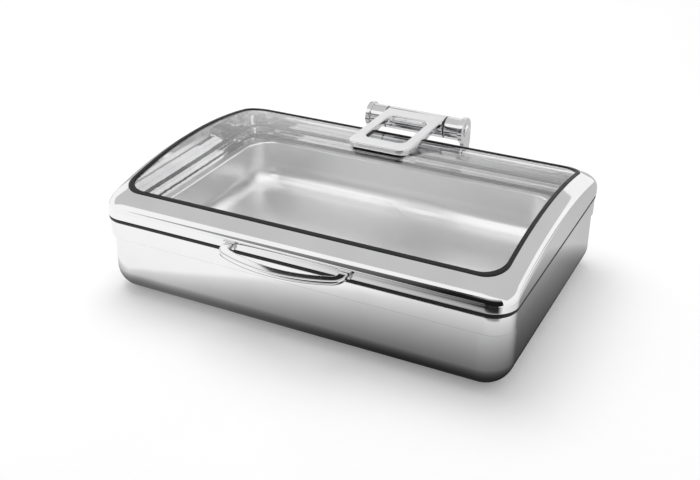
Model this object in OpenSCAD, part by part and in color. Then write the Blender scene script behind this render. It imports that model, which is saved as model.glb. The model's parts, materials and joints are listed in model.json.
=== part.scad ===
// Chafing dish with a hinged glass lid: a drawn steel water pan, a lift-out food pan,
// a framed glass lid with a bow handle and a damped hinge at the back.
// Origin on the table under the middle of the dish; X to the right, Y to the back, Z up.

/* [Lid] */
// Width of the lid, left to right
lid_w = 600; // [580:1:680]
// Depth of the lid, front to back
lid_d = 406; // [396:1:450]
// Corner radius of the lid in plan
lid_corner_r = 33; // [31:1:42]
// Height of the upright part of the lid's skirt at the front
lid_skirt_h = 14; // [13:0.5:24]
// Radius of the shoulder above the skirt
lid_shoulder_r = 9; // [5:0.5:12]
// Slope of the front frame from the shoulder up to the glass, in degrees
lid_slope = 30; // [24:1:38]
// Width of the front and back frame from the lid's edge to the glass gasket
lid_border = 25.5; // [22:0.5:32]
// Width of the side frame from the lid's edge to the glass gasket
lid_side = 21.5; // [20:0.5:30]
// Thickness of the pressed lid frame
lid_sheet = 1.2; // [0.8:0.1:1.6]
// Width of the flange that closes the skirt and meets the seal
lid_flange = 14; // [13.5:0.5:18]

/* [Glass] */
// How far the pane arches up in the middle of the lid
arch_rise = 21.5; // [12:0.5:28]
// Corner radius of the gasket round the pane
gasket_corner_r = 30; // [26:1:31]
// Thickness of the glass pane
glass_t = 4; // [3:0.5:6]
// Visible width of the gasket round the pane
gasket_w = 6.5; // [5:0.5:9]
// Depth of the pane's edge in the gasket
gasket_grip = 4.5; // [3:0.25:5]
// Thickness of the gasket's lips over and under the pane
gasket_lip = 1.3; // [0.8:0.1:2]
// How far the gasket stands above the frame's edge
gasket_proud = 0.7; // [0.3:0.1:1.5]

/* [Water pan] */
// Height of the water pan's rim above the table
body_h = 114; // [106:1:140]
// How far the water pan stands back from the lid's edge
body_inset = 1.5; // [1:0.5:4]
// Radius between the wall and the floor
body_bottom_r = 34; // [26:1:36]
// Corner radius of the wall under the band, in plan
wall_corner_r = 38; // [37:1:50]
// Sheet thickness of the water pan
body_wall = 1.2; // [0.8:0.1:2]
// Height of the raised band under the rim
band_h = 25; // [22:1:32]
// How far the band stands out from the wall below it
band_step = 0.75; // [0.5:0.25:1.5]
// Width of the flat rim that carries the seal
rim_land = 12; // [11:0.5:15]
// How far the ledge for the food pan lies under the rim
ledge_drop = 6; // [4:0.5:9]

/* [Base plate] */
// Thickness of the magnetic base plate for the hob
base_t = 3; // [2:0.5:6]
// How far the plate's edge lies inside the flat of the floor
base_margin = 6; // [3:1:20]

/* [Seal] */
// Width of the lid seal
seal_w = 7; // [5:0.5:8]
// Height of the lid seal
seal_h = 5.3; // [4:0.1:8]
// How far the seal lies in from the water pan's wall
seal_inset = 1; // [0.5:0.5:4]

/* [Food pan] */
// Width of the food pan over its rim (full gastronorm size)
pan_w = 530; // [500:1:532]
// Depth of the food pan over its rim, front to back
pan_d = 325; // [306:1:327]
// Depth of the food pan below its rim
pan_depth = 65; // [40:5:75]
// Width of the food pan's rim
pan_rim = 12; // [9:0.5:16]
// Corner radius of the food pan's wall in plan
pan_corner_r = 42; // [32:1:60]
// Radius between the food pan's wall and floor
pan_floor_r = 24; // [12:1:30]
// Sheet thickness of the food pan
pan_wall = 1; // [0.7:0.1:1.5]

/* [Hinge] */
// Distance of the hinge axis behind the lid's edge
hinge_offset = 9; // [7:0.5:20]
// Diameter of the hinge barrel
barrel_d = 35; // [28:0.5:38]
// Length of each fixed barrel beside the arm
barrel_len = 24; // [18:1:32]
// Wall of the fixed barrels
barrel_wall = 3; // [2:0.25:4]
// Thickness of the bracket's cheeks
cheek_t = 7.5; // [6:0.5:12]
// Diameter of the round head of each cheek
cheek_d = 41; // [38:1:46]
// Diameter of the hinge pin
pin_d = 12; // [10:0.5:14]
// Wall of the bushes that carry the pin
bush_wall = 1.5; // [1:0.25:3]
// Thickness of the washers between arm and barrels
washer_t = 1.6; // [1:0.1:2.5]
// Thickness of the bracket's back plate
plate_t = 6; // [4:0.5:8]
// Thickness of the backing plate inside the wall
backing_t = 3; // [2:0.5:5]
// Thread diameter of the bracket screws
bracket_screw_d = 5; // [4:0.5:6]

/* [Lid arm] */
// Width of the arm and of its sleeve on the pin
arm_w = 97; // [88:1:112]
// Distance along the arm from the hinge axis to its front edge
arm_reach = 153; // [140:1:170]
// Thickness of the arm
arm_t = 9.5; // [8:0.5:12]
// Depth of the bar that is clamped to the glass
arm_bar = 27; // [24:1:40]
// Width of the two rails beside the window
arm_rail = 16; // [12:1:24]
// Distance along the arm from the hinge axis to the back of the window
arm_neck = 31; // [28:1:50]
// Radius of the arm's front corners
arm_corner_r = 17; // [10:1:24]
// Radius of the window's corners
window_r = 12; // [4:0.5:14]
// Thickness of the rubber pads over and under the glass
pad_t = 1.5; // [1:0.25:3]
// Thickness of the clamp plate under the glass
clamp_t = 3; // [2:0.5:5]
// Thread diameter of the arm's screws
arm_screw_d = 6; // [5:0.5:7]
// Distance between the arm's screws
arm_screw_span = 56; // [44:1:60]

/* [Handle] */
// Width of the handle over its arms
handle_w = 183; // [150:1:220]
// How far the middle of the bow stands out from the lid
handle_reach = 42; // [38:0.5:55]
// Radius of the bow along its middle line
handle_bow_r = 220; // [180:5:320]
// Radius of the bends between bow and arms
handle_bend_r = 12; // [9:0.5:16]
// Width of the handle's bar, seen from above
handle_bar_w = 14; // [10:0.5:16]
// Thickness of the handle's bar
handle_bar_t = 7; // [5:0.5:8]
// Downward tilt of the handle, in degrees
handle_tilt = 4; // [0:1:10]
// Height of the feet on the lid's skirt
foot_h = 11; // [10:0.5:12]
// Thread diameter of the handle's screws
handle_screw_d = 4; // [3:0.5:4.5]

/* [Hidden] */
$fn = 96;

// Clearances
fit_gap = 0.05;
running_gap = 0.06;
seal_gap = 0.2;
lip_gap = 0.25;
side_gap = 0.3;
ledge_gap = 1.5;
through = 1;

// Water pan
floor_z = base_t;
body_w = lid_w - 2 * body_inset;
body_d = lid_d - 2 * body_inset;
body_corner_r = lid_corner_r - body_inset;
band_z = body_h - band_h;
wall_w = body_w - 2 * band_step;
wall_d = body_d - 2 * band_step;
rim_inner_r = body_corner_r - rim_land;
ledge_z = body_h - ledge_drop;
body_back = body_d / 2;
inner_back = body_back - body_wall;
base_corner_r = 24;

// Food pan, which hangs by the turned-down edge of its rim
rim_lip = 1;
cup_w = pan_w - 2 * pan_rim;
cup_d = pan_d - 2 * pan_rim;
rim_top_z = ledge_z + rim_lip + pan_wall;
pan_floor_z = rim_top_z - pan_depth;

// Lid frame, in a section whose insets are those of the front; the sides are narrower by side_ratio
lid_z = body_h + seal_h + seal_gap;
shoulder_z = lid_z + lid_skirt_h;
shoulder_turn = 90 - lid_slope;
slope_run = lid_border - lid_shoulder_r * (1 - sin(lid_slope));
frame_top_z = shoulder_z + lid_shoulder_r * cos(lid_slope) + slope_run * tan(lid_slope);
gasket_top_z = frame_top_z + gasket_proud;
glass_top_z = gasket_top_z - gasket_lip;
glass_z = glass_top_z - glass_t;
seat_z = glass_z - gasket_lip;
inner_top_z = frame_top_z - lid_sheet * (tan(lid_slope) + 1 / cos(lid_slope));
sight_inset = lid_border + gasket_w;
glass_inset = sight_inset - gasket_grip;
side_ratio = lid_side / lid_border;
corner_ease = (lid_corner_r - gasket_corner_r) / lid_border;

// Arch of the pane, level with the frame at its front and back edges
lip_y = lid_d / 2 - lid_border;
arch_r = (lip_y * lip_y + arch_rise * arch_rise) / (2 * arch_rise);
arch_drop = arch_r - arch_rise;
arch_ease = 0.4;
arch_facets = 2880;
flat = 0;
eased = 1;
arched = 2;

// Lid arm: a level strap whose front bar stands on the slope of the pane
axis_y = lid_d / 2 + hinge_offset;
bar_y = axis_y - arm_reach + arm_bar / 2;
bar_tilt = asin(bar_y / arch_r);
pane_z = glass_top_z - arch_drop + arch_r * cos(bar_tilt);
bar_z = pane_z + pad_t / cos(bar_tilt);
bar_drop = tan(bar_tilt) * arm_bar / 2;
arm_top_z = bar_z + arm_t;
window_w = arm_w - 2 * arm_rail;
window_front = -arm_reach + arm_bar;
pad_margin = 2;
pad_w = arm_w - arm_corner_r - 2 * pad_margin;
pad_d = arm_bar - 2 * pad_margin;
pad_sag = arch_r - sqrt(arch_r * arch_r - pad_d * pad_d / 4);
clamp_z = -glass_t * cos(bar_tilt) - pad_sag - pad_t - clamp_t;
arm_screw_head = [2 * arm_screw_d, 0.5 * arm_screw_d];
arm_screw_depth = arm_t - pad_margin;

// Hinge axis, with the sleeve a little proud of the strap
sleeve_proud = 0.8;
axis_z = arm_top_z + sleeve_proud - barrel_d / 2;

// Hinge, from the middle to the right
sleeve_end = arm_w / 2;
washer_x = sleeve_end + side_gap;
barrel_x = washer_x + washer_t;
cheek_x = barrel_x + barrel_len;
cheek_end = cheek_x + cheek_t;
barrel_bore = barrel_d - 2 * barrel_wall;
barrel_floor = 3;
bush_bore = pin_d + 2 * running_gap;
washer_inset = 0.5;
cap_rim = 4;
cap_d = pin_d + 2 * cap_rim;
cap_t = 2.5;
damper_wall = 2.5;
damper_x = barrel_x + barrel_floor + side_gap;
damper_len = barrel_len - barrel_floor - 2 * side_gap;
disc_count = 4;
disc_gap = 0.3;
disc_t = damper_len / disc_count - disc_gap;

// Hinge bracket on the band of the water pan
plate_margin = 1.5;
plate_z = band_z + plate_margin;
plate_h = band_h - body_wall - 2 * plate_margin;
plate_mid_z = plate_z + plate_h / 2;
plate_back = body_back + plate_t;
lid_clear = 2;
cheek_front = lid_d / 2 + lid_clear;
cheek_root = plate_back + cheek_d / 4;
screw_columns = [-0.86, -0.36, 0.36, 0.86] * cheek_x;
bracket_head = [1.9 * bracket_screw_d, 0.6 * bracket_screw_d];

// Handle, in a plane that tilts about its feet
lid_front = -lid_d / 2;
foot_z = lid_z + lid_skirt_h / 2;
foot_t = 4;
foot_margin = 2;
foot_w = handle_bar_w + 2 * foot_margin;
handle_arm_x = handle_w / 2 - handle_bar_w / 2;
bow_centre = handle_reach - handle_bar_w / 2 - handle_bow_r;
bend_x = handle_arm_x - handle_bend_r;
bend_y = bow_centre + sqrt(pow(handle_bow_r - handle_bend_r, 2) - pow(bend_x, 2));
bow_angle = atan2(bend_y - bow_centre, bend_x);
bend_steps = 8;
bow_steps = 32;
handle_screw_head = [2 * handle_screw_d, 0.7 * handle_screw_d];
handle_screw_bite = 8;
handle_screw_len = foot_t + handle_screw_bite;

// Plan outline of a rectangle with rounded corners, about the origin
module rounded_rect(w, d, r) {
    square([w - 2 * r, d], center = true);
    square([w, d - 2 * r], center = true);
    for (x = [-1, 1], y = [-1, 1])
        translate([x * (w / 2 - r), y * (d / 2 - r)])
            circle(r);
}

// Sweeps a section round a rounded rectangle: the section's x runs out from the corner's centre
module ring_sweep(w, d, r) {
    half = [w / 2 - r, d / 2 - r];
    for (side = [0:3]) {
        out = half[side % 2];
        along = half[(side + 1) % 2];
        rotate(90 * side) {
            translate([out, 0, 0])
                rotate([90, 0, 0])
                    linear_extrude(2 * along, center = true)
                        children();
            translate([out, along, 0])
                rotate_extrude(angle = 90)
                    children();
        }
    }
}

// Section of a drawn wall: quarter-round bottom edge of radius r below an upright wall
module drawn_wall(corner_r, bottom_z, top_z, r, t) {
    translate([corner_r - r, bottom_z + r])
        intersection() {
            difference() {
                circle(r);
                circle(r - t);
            }
            translate([0, -r])
                square(r);
        }
    translate([corner_r - t, bottom_z + r])
        square([t, top_z - bottom_z - r]);
}

// Flat floor that closes a drawn wall of the same size
module drawn_floor(w, d, corner_r, bottom_z, r, t) {
    translate([0, 0, bottom_z])
        linear_extrude(t)
            rounded_rect(w - 2 * r, d - 2 * r, corner_r - r);
}

// Rod along X whose axis is the hinge axis, from x0 to x1
module hinge_rod(d, x0, x1) {
    translate([x0, axis_y, axis_z])
        rotate([0, 90, 0])
            cylinder(d = d, h = x1 - x0);
}

// Ring round the hinge axis
module hinge_ring(outer_d, inner_d, x0, x1) {
    difference() {
        hinge_rod(outer_d, x0, x1);
        hinge_rod(inner_d, x0 - through, x1 + through);
    }
}

// Puts a right-hand hinge piece on the left as well
module on_left() {
    mirror([1, 0, 0])
        children();
}

// Button-head screw: the shank runs up +Z from the head's flat at the origin
module button_screw(d, head, shank) {
    cylinder(d = d, h = shank);
    rotate_extrude()
        intersection() {
            translate([0, -head.y])
                square([head.x / 2, head.y]);
            translate([0, head.x * head.x / (8 * head.y) - head.y / 2])
                circle(head.x * head.x / (8 * head.y) + head.y / 2);
        }
}

// Places pieces on the pane under the middle of the arm's bar, with z square to the glass
module on_pane() {
    translate([0, bar_y, pane_z])
        rotate([-bar_tilt, 0, 0])
            children();
}

// Places a piece at each of the arm's two screws, at a height over the pane
module at_arm_screws(z) {
    on_pane()
        for (side = [-1, 1])
            translate([side * arm_screw_span / 2, 0, z])
                children();
}

// Places a piece at each bracket screw, with its shank pointing at the front
module at_bracket_screws(y) {
    for (x = screw_columns)
        translate([x, y, plate_mid_z])
            rotate([90, 0, 0])
                children();
}

// Places a piece at each handle screw, with its shank pointing out of the lid
module at_handle_screws(y) {
    for (side = [-1, 1])
        translate([side * handle_arm_x, y, foot_z])
            rotate([90, 0, 0])
                children();
}

// Section of the water pan's band, rim and step down to the ledge
module band_section() {
    translate([body_corner_r - body_wall, band_z])
        square([body_wall, band_h]);
    translate([rim_inner_r - body_wall, body_h - body_wall])
        square([rim_land + body_wall, body_wall]);
    translate([rim_inner_r - body_wall, ledge_z - body_wall])
        square([body_wall, ledge_drop + body_wall]);
}

// Flat plates of the water pan: the shelf under the band and the ledge for the food pan
module body_shelves() {
    translate([0, 0, band_z])
        linear_extrude(body_wall)
            difference() {
                rounded_rect(body_w, body_d, body_corner_r);
                rounded_rect(wall_w - 2 * body_wall, wall_d - 2 * body_wall, wall_corner_r - body_wall);
            }
    translate([0, 0, ledge_z - body_wall])
        linear_extrude(body_wall)
            difference() {
                rounded_rect(body_w - 2 * rim_land, body_d - 2 * rim_land, rim_inner_r);
                rounded_rect(cup_w + 2 * ledge_gap, cup_d + 2 * ledge_gap, pan_corner_r + ledge_gap);
            }
}

module water_pan() {
    color("gainsboro") difference() {
        union() {
            ring_sweep(wall_w, wall_d, wall_corner_r)
                drawn_wall(wall_corner_r, floor_z, band_z + body_wall, body_bottom_r, body_wall);
            drawn_floor(wall_w, wall_d, wall_corner_r, floor_z, body_bottom_r, body_wall);
            ring_sweep(body_w, body_d, body_corner_r)
                band_section();
            body_shelves();
        }
        at_bracket_screws(body_back + through)
            cylinder(d = bracket_screw_d + 2 * fit_gap, h = body_wall + 2 * through);
    }
}

module induction_base() {
    edge = 2 * (body_bottom_r + base_margin);
    color("gray")
        linear_extrude(base_t)
            rounded_rect(wall_w - edge, wall_d - edge, base_corner_r);
}

module lid_seal() {
    color("black")
        ring_sweep(body_w, body_d, body_corner_r)
            translate([body_corner_r - seal_inset - seal_w, body_h])
                square([seal_w, seal_h]);
}

// One cheek in side view: y to the back, z up, with a round head on the hinge axis
module cheek_outline() {
    translate([axis_y, axis_z])
        circle(d = cheek_d);
    polygon([
        [body_back, plate_z],
        [body_back, plate_z + plate_h],
        [cheek_front, plate_z + plate_h + plate_t],
        [cheek_front, axis_z],
        [axis_y + cheek_d / 2, axis_z],
        [axis_y + cheek_d / 2, axis_z - cheek_d / 2],
        [cheek_root, plate_z]
    ]);
}

module hinge_bracket() {
    color("silver") difference() {
        union() {
            translate([-cheek_end, body_back, plate_z])
                cube([2 * cheek_end, plate_t, plate_h]);
            for (x = [-cheek_end, cheek_x])
                translate([x, 0, 0])
                    rotate([90, 0, 90])
                        linear_extrude(cheek_t)
                            cheek_outline();
        }
        hinge_rod(bush_bore + 2 * (bush_wall + fit_gap), -cheek_end - through, cheek_end + through);
        at_bracket_screws(plate_back + through)
            cylinder(d = bracket_screw_d + 2 * fit_gap, h = plate_t + 2 * through);
    }
}

module bracket_backing() {
    color("gray") difference() {
        translate([-cheek_x, inner_back - backing_t, plate_z])
            cube([2 * cheek_x, backing_t, plate_h]);
        at_bracket_screws(inner_back + through)
            cylinder(d = bracket_screw_d + 2 * fit_gap, h = backing_t + 2 * through);
    }
}

module bracket_screws() {
    color("silver")
        at_bracket_screws(plate_back)
            button_screw(bracket_screw_d, bracket_head, plate_back - inner_back + backing_t);
}

// Fixed barrel: a cup that opens into the cheek
module barrel() {
    color("whitesmoke") difference() {
        hinge_rod(barrel_d, barrel_x, cheek_x);
        hinge_rod(barrel_bore, barrel_x + barrel_floor, cheek_x + through);
        hinge_rod(pin_d + 2 * side_gap, barrel_x - through, cheek_x);
    }
}

module barrel_left() {
    on_left()
        barrel();
}

module barrel_right() {
    barrel();
}

// Plain bush in the cheek
module bush() {
    color("goldenrod")
        hinge_ring(bush_bore + 2 * bush_wall, bush_bore, cheek_x, cheek_end);
}

module bush_left() {
    on_left()
        bush();
}

module bush_right() {
    bush();
}

// Washer that keeps the turning sleeve off the fixed barrel
module thrust_washer() {
    color("dimgray")
        hinge_ring(barrel_d - 2 * washer_inset, pin_d + 2 * side_gap, washer_x, barrel_x);
}

module thrust_washer_left() {
    on_left()
        thrust_washer();
}

module thrust_washer_right() {
    thrust_washer();
}

// Oil-filled ring fixed in the left barrel
module damper_housing() {
    outer_d = barrel_bore - 2 * fit_gap;
    color("black")
        on_left()
            hinge_ring(outer_d, outer_d - 2 * damper_wall, damper_x, damper_x + damper_len);
}

// Hub on the pin that turns in the damper's oil
module damper_rotor() {
    hub_d = barrel_bore - 2 * (fit_gap + damper_wall + side_gap);
    color("dimgray")
        on_left()
            hinge_ring(hub_d, pin_d + 2 * fit_gap, damper_x + side_gap, damper_x + damper_len - side_gap);
}

// Discs on the pin in the right barrel, which hold the lid where it is left
module friction_discs() {
    color("sienna")
        for (i = [0:disc_count - 1])
            hinge_ring(barrel_bore - 2 * side_gap, pin_d + 2 * fit_gap,
                damper_x + i * (disc_t + disc_gap), damper_x + i * (disc_t + disc_gap) + disc_t);
}

module hinge_pin() {
    color("silver")
        hinge_rod(pin_d, -cheek_end - side_gap, cheek_end + side_gap);
}

// Domed cap on the pin's end
module pin_cap() {
    ball_r = cap_d * cap_d / (8 * cap_t) + cap_t / 2;
    color("whitesmoke")
        translate([cheek_end + side_gap, axis_y, axis_z])
            rotate([0, 90, 0])
                rotate_extrude()
                    intersection() {
                        square([cap_d / 2, cap_t]);
                        translate([0, cap_t - ball_r])
                            circle(ball_r);
                    }
}

module pin_cap_left() {
    on_left()
        pin_cap();
}

module pin_cap_right() {
    pin_cap();
}

// Section of the food pan: bowl, flat rim and turned-down edge
module food_pan_section() {
    drawn_wall(pan_corner_r, pan_floor_z, rim_top_z, pan_floor_r, pan_wall);
    translate([pan_corner_r - pan_wall, rim_top_z - pan_wall])
        square([pan_rim + pan_wall, pan_wall]);
    translate([pan_corner_r + pan_rim - pan_wall, ledge_z])
        square([pan_wall, rim_lip + pan_wall]);
}

module food_pan() {
    color("lightgray") {
        ring_sweep(cup_w, cup_d, pan_corner_r)
            food_pan_section();
        drawn_floor(cup_w, cup_d, pan_corner_r, pan_floor_z, pan_floor_r, pan_wall);
    }
}

// Height of the pane's arch over the frame's front edge, at a distance y from the middle
function arch(y) = sqrt(arch_r * arch_r - y * y) - arch_drop;

// The same for the frame's skin, which eases out to level at the front and back
function eased_arch(y) = (arch(y) + norm([arch(y), 2 * arch_ease])) / 2;

// Rise of a section point at y, by the kind of line it follows
function rise(kind, y) = kind == arched ? arch(y) : kind == eased ? eased_arch(y) : 0;

// Point of the shoulder at radius r, turned t degrees up from the skirt
function shoulder_point(r, t) = [lid_shoulder_r - r * cos(t), shoulder_z + r * sin(t), eased];

shoulder_steps = 4;
shoulder_angles = [for (i = [0:shoulder_steps]) i * shoulder_turn / shoulder_steps];

// Section of the lid frame as [inset, height, kind of line], round from the skirt's foot over the skin,
// down the lip, along the gasket's seat and back inside to the seal flange
frame_section = concat(
    [[0, lid_z, flat]],
    [for (t = shoulder_angles) shoulder_point(lid_shoulder_r, t)],
    [
        [lid_border, frame_top_z, eased],
        [lid_border, seat_z, arched],
        [sight_inset, seat_z, arched],
        [sight_inset, seat_z - lid_sheet, arched],
        [lid_border - lid_sheet, seat_z - lid_sheet, arched],
        [lid_border - lid_sheet, inner_top_z, eased]
    ],
    [for (t = shoulder_angles) shoulder_point(lid_shoulder_r - lid_sheet, shoulder_turn - t)],
    [
        [lid_sheet, lid_z + lid_sheet, flat],
        [lid_flange, lid_z + lid_sheet, flat],
        [lid_flange, lid_z, flat]
    ]
);

// Stations round the lid as [side in x, side in y, angle of the corner's arc]
corner_steps = 8;
side_steps = 12;
quarter = [for (i = [0:corner_steps]) 90 * i / corner_steps];
along_side = [for (i = [1:side_steps - 1]) 1 - 2 * i / side_steps];
frame_stations = concat(
    [for (t = quarter) [1, 1, t]],
    [for (t = quarter) [-1, 1, 90 + t]],
    [for (y = along_side) [-1, y, 180]],
    [for (t = quarter) [-1, -1, 180 + t]],
    [for (t = quarter) [1, -1, 270 + t]],
    [for (y = along_side) [1, -y, 0]]
);

// Point of the lid frame for a section point at a station
function frame_point(station, point) =
    let (
        r = lid_corner_r - corner_ease * point[0],
        x = station[0] * (lid_w / 2 - side_ratio * point[0] - r) + r * cos(station[2]),
        y = station[1] * (lid_d / 2 - point[0] - r) + r * sin(station[2])
    )
    [x, y, point[1] + rise(point[2], y)];

// Pressed skin of the frame, lofted through the stations
module frame_skin() {
    n = len(frame_section);
    m = len(frame_stations);
    polyhedron(
        points = [for (s = frame_stations) for (p = frame_section) frame_point(s, p)],
        faces = [
            for (i = [0:m - 1])
                for (j = [0:n - 1])
                    let (
                        next = (i + 1) % m,
                        up = (j + 1) % n
                    )
                    for (half = [[i * n + up, next * n + up], [next * n + up, next * n + j]])
                        [i * n + j, half[0], half[1]]
        ]
    );
}

module lid_frame() {
    color("lightgray") difference() {
        frame_skin();
        at_handle_screws(lid_front + lid_sheet + through)
            cylinder(d = handle_screw_d + 2 * fit_gap, h = lid_sheet + 2 * through);
    }
}

// A size rounded to a fiftieth of a millimetre, so that arcs and straights meet cleanly
function tidy(size) = round(50 * size) / 50;

// Upright block with the lid's plan at an inset from its edge
module lid_block(inset) {
    w = tidy(lid_w - 2 * side_ratio * inset);
    d = tidy(lid_d - 2 * inset);
    translate([0, 0, lid_z])
        linear_extrude(2 * (gasket_top_z - lid_z) + arch_rise)
            rounded_rect(w, d, tidy(lid_corner_r - corner_ease * inset));
}

// Section under the arched surface that meets the frame's front edge at height z
module arch_section(z) {
    translate([0, z - arch_drop])
        circle(arch_r, $fn = arch_facets);
}

// Runs a section through the lid from side to side
module across_lid() {
    rotate([90, 0, 90])
        linear_extrude(lid_w, center = true)
            children();
}

// Layer along the arch from height z, with the lid's plan at an inset
module arch_layer(z, t, inset) {
    intersection() {
        across_lid()
            intersection() {
                difference() {
                    arch_section(z + t);
                    arch_section(z);
                }
                translate([-lid_d / 2, lid_z])
                    square([lid_d, lid_d]);
            }
        lid_block(inset);
    }
}

module glass_gasket() {
    color("black") difference() {
        arch_layer(seat_z, gasket_top_z - seat_z, lid_border + lip_gap);
        lid_block(sight_inset);
        arch_layer(glass_z - fit_gap, glass_t + 2 * fit_gap, glass_inset - lip_gap);
    }
}

module lid_glass() {
    color("lightcyan", 0.4) difference() {
        arch_layer(glass_z, glass_t, glass_inset);
        at_arm_screws(clamp_z)
            cylinder(d = arm_screw_d + 2 * side_gap, h = pad_t - clamp_z);
    }
}

// Plan of the arm from the hinge axis: a plate with round front corners and a window
module arm_outline() {
    straight = arm_w - 2 * arm_corner_r;
    difference() {
        union() {
            translate([-arm_w / 2, -arm_reach + arm_corner_r])
                square([arm_w, arm_reach - arm_corner_r]);
            translate([-straight / 2, -arm_reach])
                square([straight, arm_corner_r]);
            for (side = [-1, 1])
                translate([side * straight / 2, -arm_reach + arm_corner_r])
                    circle(arm_corner_r);
        }
        translate([0, (window_front - arm_neck) / 2])
            rounded_rect(window_w, -arm_neck - window_front, window_r);
    }
}

// Side of the arm: a level strap over a bar with a sloping seat
module arm_side() {
    front = axis_y - arm_reach;
    polygon([
        [front, bar_z + bar_drop],
        [front + arm_bar, bar_z - bar_drop],
        [front + arm_bar, bar_z],
        [axis_y, bar_z],
        [axis_y, arm_top_z],
        [front, arm_top_z]
    ]);
}

module hinge_arm() {
    color("whitesmoke") difference() {
        union() {
            intersection() {
                across_lid()
                    arm_side();
                translate([0, axis_y, lid_z])
                    linear_extrude(body_h)
                        arm_outline();
            }
            hinge_rod(barrel_d, -sleeve_end, sleeve_end);
        }
        hinge_rod(pin_d + 2 * fit_gap, -sleeve_end - through, sleeve_end + through);
        at_arm_screws(pad_t - through)
            cylinder(d = arm_screw_d + 2 * fit_gap, h = arm_screw_depth + through);
    }
}

// Piece of the clamp stack under the arm's front bar, with holes for the two screws
module clamp_layer(z, t, hole_gap) {
    difference() {
        on_pane()
            translate([-pad_w / 2, -pad_d / 2, z])
                cube([pad_w, pad_d, t]);
        at_arm_screws(z - through)
            cylinder(d = arm_screw_d + 2 * hole_gap, h = t + 2 * through);
    }
}

module arm_pad() {
    color("black")
        clamp_layer(0, pad_t, side_gap);
}

module clamp_pad() {
    color("black")
        clamp_layer(clamp_z + clamp_t, pad_t, side_gap);
}

module clamp_plate() {
    color("silver")
        clamp_layer(clamp_z, clamp_t, fit_gap);
}

module arm_screws() {
    color("silver")
        at_arm_screws(clamp_z)
            button_screw(arm_screw_d, arm_screw_head, pad_t - clamp_z + arm_screw_depth - through);
}

// Points along an arc from angle a0 to a1, without its two ends
function arc_points(centre, r, a0, a1, steps) =
    [for (i = [1:steps - 1]) centre + r * [cos(a0 + (a1 - a0) * i / steps), sin(a0 + (a1 - a0) * i / steps)]];

// Line along the handle from the right foot round the bow to the left one, off the middle by grow
function handle_line(grow) =
    let (
        arm_x = handle_arm_x + grow,
        bend = [bend_x, bend_y] + (handle_bend_r + grow) * [cos(bow_angle), sin(bow_angle)]
    )
    concat(
        [[arm_x, -foot_h], [arm_x, bend_y]],
        arc_points([bend_x, bend_y], handle_bend_r + grow, 0, bow_angle, bend_steps),
        [bend],
        arc_points([0, bow_centre], handle_bow_r + grow, bow_angle, 180 - bow_angle, bow_steps),
        [[-bend.x, bend.y]],
        arc_points([-bend_x, bend_y], handle_bend_r + grow, 180 - bow_angle, 180, bend_steps),
        [[-arm_x, bend_y], [-arm_x, -foot_h]]
    );

// Plan of the handle's bar, with y out of the lid
module handle_outline() {
    outer = handle_line(handle_bar_w / 2);
    inner = handle_line(-handle_bar_w / 2);
    polygon(concat(outer, [for (i = [len(inner) - 1:-1:0]) inner[i]]));
}

module lid_handle() {
    color("gainsboro") difference() {
        union() {
            translate([0, lid_front, foot_z])
                rotate([handle_tilt, 0, 0])
                    mirror([0, 1, 0])
                        linear_extrude(handle_bar_t, center = true)
                            handle_outline();
            for (side = [-1, 1])
                translate([side * handle_arm_x - foot_w / 2, lid_front - foot_t, foot_z - foot_h / 2])
                    cube([foot_w, foot_t, foot_h]);
        }
        translate([-handle_w, lid_front, 0])
            cube([2 * handle_w, handle_w, 2 * foot_z]);
        at_handle_screws(lid_front + through)
            cylinder(d = handle_screw_d + 2 * fit_gap, h = handle_screw_len + 2 * through);
    }
}

module handle_screws() {
    color("silver")
        at_handle_screws(lid_front + lid_sheet)
            button_screw(handle_screw_d, handle_screw_head, lid_sheet + handle_screw_len);
}

water_pan();
induction_base();
lid_seal();
hinge_bracket();
bracket_backing();
bracket_screws();
barrel_left();
barrel_right();
bush_left();
bush_right();
thrust_washer_left();
thrust_washer_right();
damper_housing();
food_pan();
lid_frame();
glass_gasket();
lid_glass();
hinge_arm();
arm_pad();
clamp_pad();
clamp_plate();
arm_screws();
hinge_pin();
pin_cap_left();
pin_cap_right();
damper_rotor();
friction_discs();
lid_handle();
handle_screws();
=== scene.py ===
"""Looks of a chafing dish: drawn steel pans, a framed glass lid on a damped hinge, and a plain studio."""
import json
import logging
import math
from dataclasses import dataclass, field
from enum import Enum
from functools import cache
from typing import Callable, Iterator, Sequence

import bmesh
import bpy
from bmesh.types import BMEdge, BMesh, BMVert
from bpy.types import Material, Node, NodeSocket, NodeTree, Object
from mathutils import Matrix, Vector


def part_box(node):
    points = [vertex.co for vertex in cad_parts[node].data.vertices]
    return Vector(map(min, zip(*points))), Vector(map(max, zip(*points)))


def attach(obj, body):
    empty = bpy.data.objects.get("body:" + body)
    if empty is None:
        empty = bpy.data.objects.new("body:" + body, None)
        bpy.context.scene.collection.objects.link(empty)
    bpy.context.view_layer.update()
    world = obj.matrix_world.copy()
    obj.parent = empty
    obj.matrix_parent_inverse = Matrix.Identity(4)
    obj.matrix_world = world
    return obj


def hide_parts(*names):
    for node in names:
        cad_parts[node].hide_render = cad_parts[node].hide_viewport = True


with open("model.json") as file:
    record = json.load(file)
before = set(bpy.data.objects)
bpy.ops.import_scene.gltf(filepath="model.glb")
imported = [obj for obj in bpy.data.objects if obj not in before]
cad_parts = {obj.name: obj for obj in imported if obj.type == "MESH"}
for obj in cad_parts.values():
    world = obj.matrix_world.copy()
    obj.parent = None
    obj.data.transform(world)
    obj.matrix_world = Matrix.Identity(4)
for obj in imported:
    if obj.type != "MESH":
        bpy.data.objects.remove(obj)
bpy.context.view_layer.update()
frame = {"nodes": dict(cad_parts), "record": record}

LOG = logging.getLogger("chafing_dish")
MM = 0.001

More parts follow.
